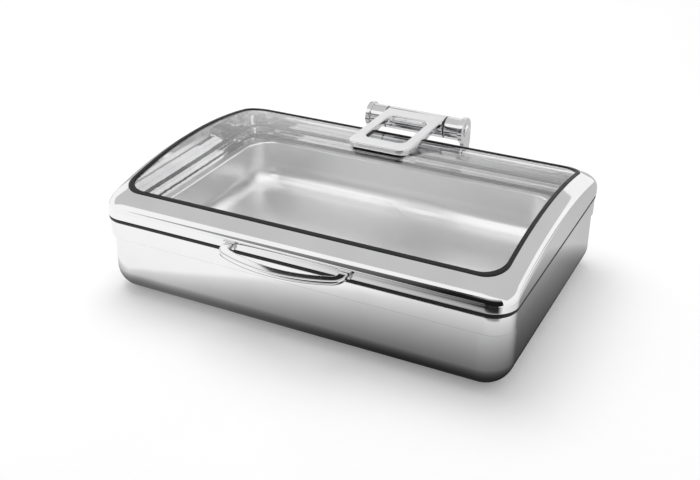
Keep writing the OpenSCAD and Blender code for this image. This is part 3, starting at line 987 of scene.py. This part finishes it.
    def pane(self) -> None:
        """Builds the arched pane from a flat one."""
        bm = bmesh.new()
        low = self.glass_top - self.glass_t
        ring = self.plan().outline(self.sight - self.gasket_grip).corners(bm, low)
        bmesh.ops.contextual_create(bm, geom=ring)
        prism(bm, Vector((0, 0, self.glass_t)))
        soften(bm, self.glass_edge)
        for row in range(1, self.glass_rows):
            cut_across(bm, self.high.y * (2 * row / self.glass_rows - 1))
        for vert in bm.verts:
            vert.co.z += self.arch(vert.co.y)
        show("lid_glass_pane", bm, Body.LID, CLEAR_GLASS, "lid_glass")

    def build(self) -> None:
        """Builds the frame, the gasket and the pane."""
        self.frame_skin()
        self.gasket()
        self.pane()


@dataclass
class Handle:
    """Bow handle of flat bar with two feet on the lid's skirt."""

    width: float = 183 * MM
    reach: float = 42 * MM
    bow_r: float = 220 * MM
    bend_r: float = 12 * MM
    bar_w: float = 14 * MM
    bar_t: float = 7 * MM
    bar_edge: float = 2.6 * MM
    tilt: float = math.radians(4)
    foot: tuple[float, float, float] = (18 * MM, 4.6 * MM, 11 * MM)
    foot_bite: float = 0.6 * MM
    foot_edge: float = 1.2 * MM
    foot_z: float = 126.5 * MM
    bow_steps: int = 48
    bend_steps: int = 12
    edge_steps: int = 6

    def bar(self) -> BMesh:
        """Sweeps the bar's section from the right foot round the bow to the left one.

        Returns:
            The bar's mesh, with +Y out of the lid.
        """
        arm_x = (self.width - self.bar_w) / 2
        bow_y = self.reach - self.bar_w / 2 - self.bow_r
        bend_x = arm_x - self.bend_r
        bend_y = bow_y + math.sqrt((self.bow_r - self.bend_r) ** 2 - bend_x ** 2)
        turn = math.atan2(bend_y - bow_y, bend_x)
        bm = bmesh.new()
        corners = [bm.verts.new((arm_x + x * self.bar_w / 2, 0, z * self.bar_t / 2)) for x, z in SIGNS]
        bm.faces.new(corners)
        round_corners(bm, corners, self.bar_edge, self.edge_steps)
        verts, ring = extruded(bm, bm.edges[:])
        bmesh.ops.translate(bm, vec=(0, bend_y, 0), verts=list(verts))
        for centre, angle, steps in (
                ((bend_x, bend_y, 0), turn, self.bend_steps),
                ((0, bow_y, 0), math.pi - 2 * turn, self.bow_steps),
                ((-bend_x, bend_y, 0), turn, self.bend_steps)):
            verts = {v for e in ring for v in e.verts}
            made = bmesh.ops.spin(
                bm, geom=[*verts, *ring], cent=centre, axis=(0, 0, 1), angle=angle, steps=steps,
                use_merge=False, use_duplicate=False)
            ring = [g for g in made["geom_last"] if isinstance(g, BMEdge)]
        verts, ring = extruded(bm, ring)
        bmesh.ops.translate(bm, vec=(0, -bend_y, 0), verts=list(verts))
        bmesh.ops.contextual_create(bm, geom=ring)
        return bm

    def build(self) -> None:
        """Builds the bar and its feet as one casting."""
        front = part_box("lid_frame")[0].y
        bm = self.bar()
        out = Matrix.Translation((0, front, self.foot_z)) @ Matrix.Rotation(self.tilt, 4, "X")
        bmesh.ops.transform(bm, matrix=out @ Matrix.Diagonal((1, -1, 1, 1)), verts=bm.verts)
        bmesh.ops.recalc_face_normals(bm, faces=bm.faces)
        arm_x = (self.width - self.bar_w) / 2
        for side in (-1, 1):
            middle = (side * arm_x, front + self.foot_bite - self.foot[1] / 2, self.foot_z)
            bm = combine(bm, block(self.foot, middle, self.foot_edge), Change.ADD)
        show("lid_handle_bow", bm, Body.LID, POLISHED_STEEL, "lid_handle")


@dataclass
class Hinge:
    """Arm on the pane, sleeve and barrels on the pin, and the bracket that carries them."""

    lid: Lid
    arm_w: float = 97 * MM
    arm_reach: float = 153 * MM
    arm_t: float = 9.5 * MM
    arm_bar: float = 27 * MM
    arm_rail: float = 16 * MM
    arm_neck: float = 31 * MM
    arm_corner_r: float = 17 * MM
    window_r: float = 12 * MM
    arm_edge: float = 2 * MM
    arm_steps: int = 14
    pad_t: float = 1.5 * MM
    pad_edge: float = 0.5 * MM
    barrel_d: float = 35 * MM
    barrel_wall: float = 3 * MM
    barrel_edge: float = 1.4 * MM
    barrel_mouth_r: float = 0.4 * MM
    pin_d: float = 12 * MM
    pin_play: float = 0.3 * MM
    bush_t: float = 1.6 * MM
    cheek_d: float = 41 * MM
    cheek_t: float = 7.5 * MM
    cheek_edge: float = 1.2 * MM
    cheek_lean: float = 7 * MM
    cheek_steps: int = 40
    plate_t: float = 6 * MM
    plate_drop: float = 2.7 * MM
    clamp_z: float = -8.57 * MM
    cap_edge: float = 0.6 * MM
    cap_r: float = 0.3 * MM
    # How far cuts keep clear of what they pass, and how far off the seat's points may lie
    margin: float = 1 * MM
    slack: float = 0.1 * MM

    def __post_init__(self) -> None:
        """Works out the places of the back plate and of the arm's bar, which stands on the pane's slope."""
        self.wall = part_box("water_pan")[1]
        self.plate_top = self.wall.z - self.plate_drop
        self.front = HINGE_AT.y - self.arm_reach
        self.bar_y = self.front + self.arm_bar / 2
        self.tilt = math.asin(self.bar_y / self.lid.arch_r)
        self.pane_z = self.lid.glass_top + self.lid.arch(self.bar_y)
        self.bar_z = self.pane_z + self.pad_t / math.cos(self.tilt)

    def on_pane(self) -> Matrix:
        """Place on the pane under the middle of the arm's bar, with Z square to the glass."""
        return Matrix.Translation((0, self.bar_y, self.pane_z)) @ Matrix.Rotation(-self.tilt, 4, "X")

    def plate(self) -> BMesh:
        """Makes the arm's strap with its window, as a half and its mirror image.

        Returns:
            The strap, whose front bar has a sloping seat.
        """
        side, back = self.arm_w / 2, HINGE_AT.y
        window, neck = side - self.arm_rail, back - self.arm_neck
        bar = self.front + self.arm_bar
        corners = [
            (0, self.front, 0), (side, self.front, self.arm_corner_r), (side, back, 0), (0, back, 0),
            (0, neck, 0), (window, neck, self.window_r), (window, bar, self.window_r), (0, bar, 0),
        ]
        bm = bmesh.new()
        verts = [bm.verts.new((x, y, self.bar_z)) for x, y, _ in corners]
        bm.faces.new(verts)
        for vert, (_, _, radius) in zip(verts, corners):
            if radius:
                round_corners(bm, [vert], radius, self.arm_steps)
        prism(bm, Vector((0, 0, self.arm_t)))
        inner = [f for f in bm.faces if all(abs(v.co.x) < HAIR for v in f.verts)]
        bmesh.ops.delete(bm, geom=inner, context="FACES")
        bmesh.ops.mirror(bm, geom=bm.verts[:] + bm.edges[:] + bm.faces[:], merge_dist=HAIR, axis="X")
        bmesh.ops.remove_doubles(bm, verts=bm.verts, dist=HAIR)
        bmesh.ops.recalc_face_normals(bm, faces=bm.faces)
        flat = [e for e in rim_edges(bm) if abs(e.verts[0].co.z - e.verts[1].co.z) < HAIR]
        soften(bm, self.arm_edge, [e for e in flat if min(v.co.y for v in e.verts) < back - self.margin])
        for y in (bar, bar + self.margin):
            cut_across(bm, y)
        for vert in bm.verts:
            if vert.co.y < bar + self.slack and vert.co.z < self.bar_z + self.arm_edge + self.slack:
                vert.co.z += (self.bar_y - vert.co.y) * math.tan(self.tilt)
        return bm

    def sleeve(self) -> list[Bend]:
        """Section of the sleeve, a ring round the pin."""
        half, outer, bore = self.arm_w / 2, self.barrel_d / 2, self.pin_d / 2
        return [
            Bend(-half, bore), Bend(-half, outer, self.barrel_edge), Bend(half, outer, self.barrel_edge),
            Bend(half, bore), Bend(-half, bore),
        ]

    def arm(self) -> None:
        """Builds the arm as one casting with its sleeve."""
        sleeve = turned(self.sleeve(), Matrix.Translation(HINGE_AT))
        bm = combine(self.plate(), sleeve, Change.ADD)
        show("hinge_arm_casting", bm, Body.LID, HINGE_CHROME, "hinge_arm")

    def pads(self) -> None:
        """Builds the rubber pads over and under the pane, with soft edges."""
        turn = self.on_pane()
        flat = turn.inverted()
        for node in ("arm_pad", "clamp_pad"):
            corners = [flat @ v.co for v in frame["nodes"][node].data.vertices]
            low = Vector(min(c[i] for c in corners) for i in range(3))
            high = Vector(max(c[i] for c in corners) for i in range(3))
            bm = block(tuple(high - low), tuple((low + high) / 2), self.pad_edge)
            bmesh.ops.transform(bm, matrix=turn, verts=bm.verts)
            show(node + "_sheet", bm, Body.LID, BLACK_RUBBER, node)

    @staticmethod
    def beside(kind: str) -> Iterator[tuple[str, float, float, float, Matrix]]:
        """Finds the two pieces of a kind that lie on the pin, the right one first.

        Args:
            kind: The start of their nodes' names.

        Yields:
            The node's name, the distances of its ends from the middle, its radius and its place.
        """
        for side in (Axis.RIGHT, Axis.LEFT):
            node = f"{kind}_{side.name.lower()}"
            low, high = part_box(node)
            near, far = sorted((abs(low.x), abs(high.x)))
            yield node, near, far, (high.y - low.y) / 2, Matrix.Translation(HINGE_AT) @ side.value

    def barrels(self) -> None:
        """Builds the two fixed barrels, cups that open into the cheeks."""
        outer, bore = self.barrel_d / 2, self.barrel_d / 2 - self.barrel_wall
        hole = self.pin_d / 2 + self.pin_play
        for node, near, far, _, place in self.beside("barrel"):
            floor = near + self.barrel_wall
            bm = turned([
                Bend(near, hole), Bend(near, outer, self.barrel_edge),
                Bend(far, outer, self.barrel_mouth_r), Bend(far, bore),
                Bend(floor, bore), Bend(floor, hole), Bend(near, hole),
            ], place)
            show(node + "_cup", bm, Body.DISH, HINGE_CHROME, node)

    def caps(self) -> None:
        """Builds the domed caps on the pin's ends."""
        for node, near, far, radius, place in self.beside("pin_cap"):
            bm = turned([
                Bend(near, 0), Bend(near, radius), Bend(near + self.cap_edge, radius, self.cap_r),
                Bend(far, radius / 2, radius / 2), Bend(far, 0),
            ], place)
            show(node + "_dome", bm, Body.LID, HINGE_CHROME, node)

    def cheek(self, x: float) -> BMesh:
        """Makes one cheek, a plate with a round head on the pin.

        Args:
            x: Where the cheek's left face lies.

        Returns:
            The cheek's mesh.
        """
        foot_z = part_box("hinge_bracket")[0].z
        head, lean = self.cheek_d / 2, self.cheek_lean
        bm = bmesh.new()
        first = bm.verts.new((x, HINGE_AT.y - lean, HINGE_AT.z - math.sqrt(head ** 2 - lean ** 2)))
        made = bmesh.ops.spin(
            bm, geom=[first], cent=(x, HINGE_AT.y, HINGE_AT.z), axis=(-1, 0, 0),
            angle=math.pi * 3 / 2 - math.asin(lean / head), steps=self.cheek_steps,
            use_merge=False, use_duplicate=False)
        last = next(g for g in made["geom_last"] if isinstance(g, BMVert))
        rest = [
            (HINGE_AT.y + head, HINGE_AT.z - head),
            (self.wall.y + self.plate_t + head / 2, foot_z),
            (self.wall.y, foot_z),
            (self.wall.y, self.plate_top),
            (HINGE_AT.y - lean, self.plate_top + self.plate_t),
        ]
        chain = [last] + [bm.verts.new((x, y, z)) for y, z in rest] + [first]
        for pair in zip(chain, chain[1:]):
            bm.edges.new(pair)
        bmesh.ops.contextual_create(bm, geom=bm.edges[:])
        prism(bm, Vector((self.cheek_t, 0, 0)))
        flat = [e for e in rim_edges(bm) if abs(e.verts[0].co.x - e.verts[1].co.x) < HAIR]
        soften(bm, self.cheek_edge, flat)
        return bm

    def bracket(self) -> None:
        """Builds the back plate and its two cheeks as one casting."""
        low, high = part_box("hinge_bracket")
        size = (high.x - low.x, self.plate_t, self.plate_top - low.z)
        middle = (0, self.wall.y + self.plate_t / 2, (self.plate_top + low.z) / 2)
        bm = block(size, middle, self.cheek_edge)
        for x in (low.x, high.x - self.cheek_t):
            bm = combine(bm, self.cheek(x), Change.ADD)
        radius = self.pin_d / 2 + self.bush_t
        left, right = low.x - self.margin, high.x + self.margin
        section = [Bend(left, 0), Bend(left, radius), Bend(right, radius), Bend(right, 0)]
        bm = combine(bm, turned(section, Matrix.Translation(HINGE_AT)), Change.CUT)
        show("hinge_bracket_casting", bm, Body.DISH, HINGE_CHROME, "hinge_bracket")

    def build(self) -> None:
        """Builds the arm, its pads, the barrels, the caps and the bracket."""
        self.arm()
        self.pads()
        self.barrels()
        self.caps()
        self.bracket()


@dataclass(frozen=True)
class Screws:
    """Row of button-head screws with hex sockets."""

    node: str
    body: Body
    head_d: float
    head_h: float
    shank_d: float
    length: float
    places: tuple[Matrix, ...]
    # Shares of the head's radius, apart from brim and socket_depth, which are shares of its height
    crown: float = 0.7
    crown_r: float = 0.25
    brim: float = 0.35
    brim_r: float = 0.3
    socket: float = 0.5
    socket_depth: float = 0.55
    tip_r: float = 0.5 * MM

    def build(self) -> None:
        """Builds the screws, each with its head's flat at its place and its shank along +X."""
        bm = bmesh.new()
        radius, shank, top = self.head_d / 2, self.shank_d / 2, -self.head_h
        for place in self.places:
            screw = turned([
                Bend(top, 0), Bend(top, self.crown * radius, self.crown_r * radius),
                Bend(self.brim * top, radius, self.brim_r * radius), Bend(0, radius), Bend(0, shank),
                Bend(self.length, shank, self.tip_r), Bend(self.length, 0),
            ], Matrix.Identity(4))
            hexagon = bmesh.new()
            bmesh.ops.create_cone(
                hexagon, cap_ends=True, segments=6, radius1=self.socket * radius,
                radius2=self.socket * radius, depth=2 * self.socket_depth * self.head_h,
                matrix=Matrix.Translation((top, 0, 0)) @ Matrix.Rotation(math.pi / 2, 4, "Y"))
            join(bm, combine(screw, hexagon, Change.CUT), place)
        show(self.node + "_set", bm, self.body, FASTENER_STEEL, self.node)


def driven_forward(
        node: str, body: Body, head_d: float, head_h: float, shank_d: float, shares: Sequence[float],
) -> Screws:
    """Places a row of screws that go in from behind.

    Args:
        node: The screws' node, whose box gives their place.
        body: The body that they ride on.
        head_d: Width of a head.
        head_h: Height of a head.
        shank_d: Thickness of a shank.
        shares: Their places along X, as shares of the outermost one's.

    Returns:
        The row.
    """
    low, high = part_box(node)
    seat = Vector((high.x - head_d / 2, high.y - head_h, (low.z + high.z) / 2))
    places = tuple(Matrix.Translation((s * seat.x, seat.y, seat.z)) @ Axis.FORWARD.value for s in shares)
    return Screws(node, body, head_d, head_h, shank_d, seat.y - low.y, places)


def screw_sets(hinge: Hinge) -> list[Screws]:
    """Lists the dish's screws.

    Args:
        hinge: The hinge, for the place of its arm's screws.

    Returns:
        The three sets.
    """
    inner = BRACKET_COLUMNS[0] / BRACKET_COLUMNS[1]
    arm_head_d, arm_head_h = 12 * MM, 3 * MM
    arm_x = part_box("arm_screws")[1].x - arm_head_d / 2
    up = hinge.on_pane() @ Matrix.Translation((0, 0, hinge.clamp_z)) @ Axis.UP.value
    places = tuple(Matrix.Translation((x, 0, 0)) @ up for x in (-arm_x, arm_x))
    return [
        driven_forward("bracket_screws", Body.DISH, 9.5 * MM, 3 * MM, 5 * MM, (-1, -inner, inner, 1)),
        Screws("arm_screws", Body.LID, arm_head_d, arm_head_h, 6 * MM, 16.4 * MM, places),
        driven_forward("handle_screws", Body.LID, 8 * MM, 2.8 * MM, 4 * MM, (-1, 1)),
    ]


Corners = tuple[tuple[float, float, float], ...]


def upright(start: tuple[float, float], end: tuple[float, float], low: float, high: float) -> Corners:
    """Corners of a card that stands along a line, between two heights."""
    return (*start, low), (*end, low), (*end, high), (*start, high)


def level(z: float, *corners: tuple[float, float]) -> Corners:
    """Corners of a card that lies at one height."""
    return tuple((*corner, z) for corner in corners)


@dataclass(frozen=True)
class Card:
    """Four-cornered card that only shows in reflections, with a grey at each corner."""

    name: str
    corners: Corners
    greys: tuple[float, float, float, float]
    through_glass: bool = False

    def build(self) -> None:
        """Hangs the card."""
        bm = bmesh.new()
        shade = bm.verts.layers.float_color.new("shade")
        verts = [bm.verts.new(corner) for corner in self.corners]
        for vert, grey in zip(verts, self.greys):
            vert[shade] = (grey, grey, grey, 1)
        bm.faces.new(verts)
        bmesh.ops.subdivide_edges(bm, edges=bm.edges[:], cuts=CARD_CUTS, use_grid_fill=True)
        card = stage_mesh(self.name, bm, shade_paper(self.name))
        reflected_only(card)
        card.visible_glossy = not self.through_glass
        card.visible_transmission = self.through_glass


def shade_paper(name: str) -> Material:
    """Makes the paper of a card, which glows with the greys at its corners.

    Args:
        name: The card's name.

    Returns:
        The material.
    """
    material, tree = new_tree(name + "_paper")
    tone = add_node(tree, "VertexColor", layer_name="shade")
    glow = add_node(tree, "Emission", {"Color": tone.outputs["Color"], "Strength": 1.0})
    add_node(tree, "OutputMaterial", {"Surface": glow.outputs["Emission"]})
    material.cycles.emission_sampling = "NONE"
    return material


def reflected_only(card: Object) -> None:
    """Hides a card from the camera and keeps it from lighting or shading anything.

    Args:
        card: The card.
    """
    card.visible_camera = False
    card.visible_diffuse = False
    card.visible_transmission = False
    card.visible_shadow = False


def stage_mesh(name: str, bm: BMesh, material: Material) -> Object:
    """Adds a mesh to the stage.

    Args:
        name: The object's name.
        bm: Its mesh, which is freed.
        material: Its material.

    Returns:
        The object.
    """
    mesh = bpy.data.meshes.new(name)
    bm.to_mesh(mesh)
    bm.free()
    mesh.materials.append(material)
    stage = bpy.data.objects.new(name, mesh)
    bpy.context.scene.collection.objects.link(stage)
    return stage


# Cards that give the polished steel something to reflect, with their places in metres
SCRIM_Z = 2.6
PAPER_Z = 0.003
FADE_Z = 1.2
FLAG_LEFT, FLAG_TURN, FLAG_RIGHT = (-1.9, -2.4), (-0.5, -2.4), (2.2, -1.3)
LEDGE_LEFT, LEDGE_TURN, LEDGE_RIGHT = (-1.2, -2.42), (-0.3, -2.42), (2.2, -1.32)
LEDGE_LOW, LEDGE_HIGH = 0.9, 2.4
CARDS = (
    # Grey scrim overhead, seen in the lid's slopes
    Card("overhead_scrim", level(SCRIM_Z, (-5, -1.2), (5, -1.2), (5, 9), (-5, 9)), (0.6,) * 4),
    # Bright scrim overhead, seen by the food pan through the pane
    Card("pan_scrim", level(2.8, (-4, -3), (4, -3), (4, 4), (-4, 4)), (1.3,) * 4, True),
    # White soft box behind, seen in the arm's top and the pane
    Card("back_box", upright((-2.8, 2.4), (0.1, 2.4), 0.3, SCRIM_Z), (1.1, 0.7, 0.7, 1.1)),
    # Dark flag high on the soft box, seen in the right half of the handle
    Card("handle_flag", upright((-1.86, 2.39), (-1.2, 2.39), 2.2, SCRIM_Z), (0.02,) * 4),
    # Dark flags in front, seen as a line under the lid's shoulder that grows to the right
    Card("front_flag", ((*FLAG_LEFT, 0.8), (*FLAG_TURN, 0.0), (*FLAG_TURN, 2.0), (*FLAG_LEFT, 1.0)),
         (0.5, 0.01, 0.01, 0.5)),
    Card("right_flag", upright(FLAG_TURN, FLAG_RIGHT, 0.0, FADE_Z), (0.01,) * 4),
    Card("right_fade", upright(FLAG_TURN, FLAG_RIGHT, FADE_Z, 2.2), (0.01, 0.01, 0.7, 0.7)),
    # Dark flags in front, seen through the pane in the ledge and the frame at the rear right
    Card("ledge_fade", upright(LEDGE_LEFT, LEDGE_TURN, LEDGE_LOW, LEDGE_HIGH),
         (0.8, 0.02, 0.02, 0.8), True),
    Card("ledge_flag", upright(LEDGE_TURN, LEDGE_RIGHT, LEDGE_LOW, LEDGE_HIGH), (0.02,) * 4, True),
    # Dark paper on the floor in front, seen in the right half of the lid's shoulder
    Card("front_floor", level(PAPER_Z, (-0.3, -0.6), (0.15, -0.6), (0.0, -2.4), (-1.6, -2.4)),
         (0.95, 0.02, 0.02, 0.95)),
    Card("right_floor", level(PAPER_Z, (0.15, -0.6), (0.6, -0.6), FLAG_RIGHT, (0.0, -2.4)), (0.02,) * 4),
    # Grey paper on the floor at the right, seen in the rear half of the right wall and skirt
    Card("right_back_floor", level(PAPER_Z, (0.1, 0.6), (1.4, 0.6), (1.4, 1.6), (0.1, 1.6)), (0.55,) * 4),
    # Grey paper on the floor behind, seen in the lid's left slope
    Card("back_floor", level(PAPER_Z, (-2.6, 0.2), (-0.33, 0.2), (-0.33, 2.4), (-2.6, 2.4)), (0.5,) * 4),
)


@dataclass(frozen=True)
class FloorShade:
    """Shade on the floor round the dish, which only shows in its walls and the right of the lid's skirt."""

    dish: Outline = Outline(0.295, 0.195, 0.038)
    size: float = 0.6
    height: float = 0.002
    cells: int = 240
    near: float = 0.13
    deepest: float = 0.02
    edge: float = 0.75
    curve: float = 1.4
    past_edge: float = 2.0
    reach: float = 0.07
    stretch: float = 0.11
    toward: float = math.radians(-45)
    veil: float = 0.45
    veil_toward: float = math.radians(50)
    # Distances from the dish with the grey at each
    skirt_greys: tuple[tuple[float, float], ...] = (
        (0.179, 1.0), (0.182, 0.1), (0.185, 0.1), (0.189, 0.45), (0.198, 0.45), (0.203, 0.02), (9.0, 0.02))
    skirt_from: float = -0.2
    skirt_full: float = 0.2
    skirt_end: float = math.radians(-30)
    skirt_fade: float = math.radians(20)

    def past_corner(self, x: float, y: float) -> Vector:
        """Vector to a point from the nearest point of the dish's rounded outline's spine."""
        flat_w, flat_d = self.dish.half_w - self.dish.radius, self.dish.half_d - self.dish.radius
        return Vector((x - max(-flat_w, min(flat_w, x)), y - max(-flat_d, min(flat_d, y))))

    def wall_grey(self, away: float, angle: float) -> float:
        """Brightness seen in the walls, dark at the dish's foot.

        Args:
            away: Distance from the dish.
            angle: Direction from the dish's middle.

        Returns:
            The grey.
        """
        facing = max(0.0, math.cos(angle - self.toward))
        share = away / (self.reach + self.stretch * facing)
        near = self.near + (self.deepest - self.near) * facing
        veil = 1 - self.veil * max(0.0, math.cos(angle - self.veil_toward))
        if share < 1:
            return min(veil, near + (self.edge - near) * share ** self.curve)
        return min(veil, self.edge + (share - 1) * self.past_edge)

    def skirt_grey(self, x: float, past: Vector) -> float:
        """Brightness seen in the lid's skirt, with dark lines in its right half.

        Args:
            x: The point's x.
            past: The point's offset from the outline's spine.

        Returns:
            The grey.
        """
        if past.y >= 0:
            return 1.0
        along = (x - self.skirt_from) / (self.skirt_full - self.skirt_from)
        ending = (self.skirt_end - math.atan2(past.y, past.x)) / self.skirt_fade
        depth = max(0.0, min(1.0, along, ending))
        away = past.length - self.dish.radius
        grey = 1.0
        for (near, first), (far, last) in zip(self.skirt_greys, self.skirt_greys[1:]):
            if near <= away < far:
                grey = first + (last - first) * (away - near) / (far - near)
        return 1 - depth * (1 - grey)

    def shade(self, x: float, y: float) -> float:
        """Brightness of the floor at a point.

        Args:
            x: The point's x.
            y: The point's y.

        Returns:
            A grey from dark under the dish to white.
        """
        past = self.past_corner(x, y)
        away = max(past.length - self.dish.radius, 0)
        return min(self.wall_grey(away, math.atan2(y, x)), self.skirt_grey(x, past))

    def build(self) -> None:
        """Lays the shade."""
        bm = bmesh.new()
        bmesh.ops.create_grid(bm, x_segments=self.cells, y_segments=self.cells, size=self.size)
        tone = bm.verts.layers.float_color.new("shade")
        for vert in bm.verts:
            grey = self.shade(vert.co.x, vert.co.y)
            vert[tone] = (grey, grey, grey, 1)
            vert.co.z = self.height
        reflected_only(stage_mesh("floor_shade", bm, shade_paper("floor_shade")))


@dataclass
class Studio:
    """White floor and background, soft light, reflecting cards and the camera."""

    camera_at: Vector = Vector((0.59717, -1.20395, 0.77645))
    camera_turn: tuple[float, float] = (61.81, 26.81)
    lens: float = 53.79
    sensor: float = 36.0
    ambient: float = 0.6
    floor_half: float = 8.0
    floor_patch: float = 0.4
    floor_glow: float = 0.18
    far_glow: float = 0.5
    glow_from: float = 1.2
    glow_full: float = 4.0
    lamp_at: Vector = Vector((-0.55, 0.45, 2.3))
    lamp_size: float = 1.8
    lamp_watts: float = 30.0

    def world(self) -> None:
        """Makes the background white to camera, metal and glass, and a soft light for the rest."""
        world = bpy.data.worlds.new("white_room")
        world.use_nodes = True
        tree = world.node_tree
        tree.nodes.clear()
        strength = add_node(tree, "MapRange", {"Value": self.shown(tree), 3: self.ambient, 4: 1.0})
        light = add_node(tree, "Background", {
            "Color": linear("#FFFFFF"), "Strength": strength.outputs["Result"]})
        add_node(tree, "OutputWorld", {"Surface": light.outputs["Background"]})
        bpy.context.scene.world = world

    @staticmethod
    def shown(tree: NodeTree) -> NodeSocket:
        """Tells rays that show the background from rays that only light the object.

        Args:
            tree: The node tree that asks.

        Returns:
            1 for camera, glossy and transmission rays, and otherwise 0.
        """
        path = add_node(tree, "LightPath")
        first = add_node(tree, "Math", {
            0: path.outputs["Is Camera Ray"], 1: path.outputs["Is Glossy Ray"]}, operation="MAXIMUM")
        both = add_node(tree, "Math", {
            0: first.outputs["Value"], 1: path.outputs["Is Transmission Ray"]}, operation="MAXIMUM")
        return both.outputs["Value"]

    def floor(self) -> None:
        """Makes the pale floor, which shows white and keeps the shadow."""
        bm = bmesh.new()
        bmesh.ops.create_grid(bm, x_segments=1, y_segments=1, size=self.floor_half)
        material, tree = new_tree("matt_white_floor")
        paper = grain(tree, (self.floor_patch,) * 3, 2.0)
        matt = add_node(tree, "BsdfDiffuse", {"Color": tint(tree, paper, "#EDEDED", "#F0F0F0")})
        place = add_node(tree, "TexCoord")
        away = add_node(tree, "VectorMath", {0: place.outputs["Object"]}, operation="LENGTH")
        strength = add_node(tree, "MapRange", {
            "Value": away.outputs["Value"], 1: self.glow_from, 2: self.glow_full, 3: self.floor_glow,
            4: self.far_glow})
        glow = add_node(tree, "Emission", {
            "Color": linear("#FFFFFF"), "Strength": strength.outputs["Result"]})
        white = add_node(tree, "AddShader", {0: matt.outputs["BSDF"], 1: glow.outputs["Emission"]})
        mix = add_node(tree, "MixShader", {
            "Fac": self.shown(tree), 1: matt.outputs["BSDF"], 2: white.outputs["Shader"]})
        add_node(tree, "OutputMaterial", {"Surface": mix.outputs["Shader"]})
        stage_mesh("studio_floor", bm, material)

    def lamp(self) -> None:
        """Hangs a soft box over the back left; metal reflects the cards and not the lamp."""
        light = bpy.data.lights.new("soft_box", "AREA")
        light.shape = "SQUARE"
        light.size = self.lamp_size
        light.energy = self.lamp_watts
        lamp = bpy.data.objects.new("soft_box", light)
        turn = (-self.lamp_at).to_track_quat("-Z", "Y").to_matrix().to_4x4()
        lamp.matrix_world = Matrix.Translation(self.lamp_at) @ turn
        lamp.visible_glossy = False
        lamp.visible_transmission = False
        bpy.context.scene.collection.objects.link(lamp)

    def camera(self) -> None:
        """Sets the camera at the photograph's angle."""
        data = bpy.data.cameras.new("camera")
        data.lens, data.sensor_width = self.lens, self.sensor
        camera = bpy.data.objects.new("camera", data)
        camera.location = self.camera_at
        tip, turn = (math.radians(a) for a in self.camera_turn)
        camera.rotation_euler = (tip, 0, turn)
        bpy.context.scene.collection.objects.link(camera)
        bpy.context.scene.camera = camera

    def build(self) -> None:
        """Sets up the view, the background, the floor, the lamp, the cards and the camera."""
        bpy.context.scene.view_settings.view_transform = "Standard"
        self.world()
        self.floor()
        self.lamp()
        FloorShade().build()
        for card in CARDS:
            card.build()
        self.camera()


def dress_nodes() -> None:
    """Gives each CAD node that stays in view its finish."""
    for name, finish in NODE_FINISHES.items():
        node = frame["nodes"][name]
        for slot in node.material_slots:
            slot.material = finish.material()
        LOG.info("%s is dressed in %s", name, finish.name)


def main() -> None:
    """Builds the studio and the dish's pieces in order."""
    logging.basicConfig(level=logging.INFO, format="%(name)s: %(message)s")
    Studio().build()
    WaterPan().build()
    FoodPan().build()
    lid = Lid()
    lid.build()
    Handle().build()
    hinge = Hinge(lid)
    hinge.build()
    for screws in screw_sets(hinge):
        screws.build()
    dress_nodes()


if __name__ == "__main__":
    main()
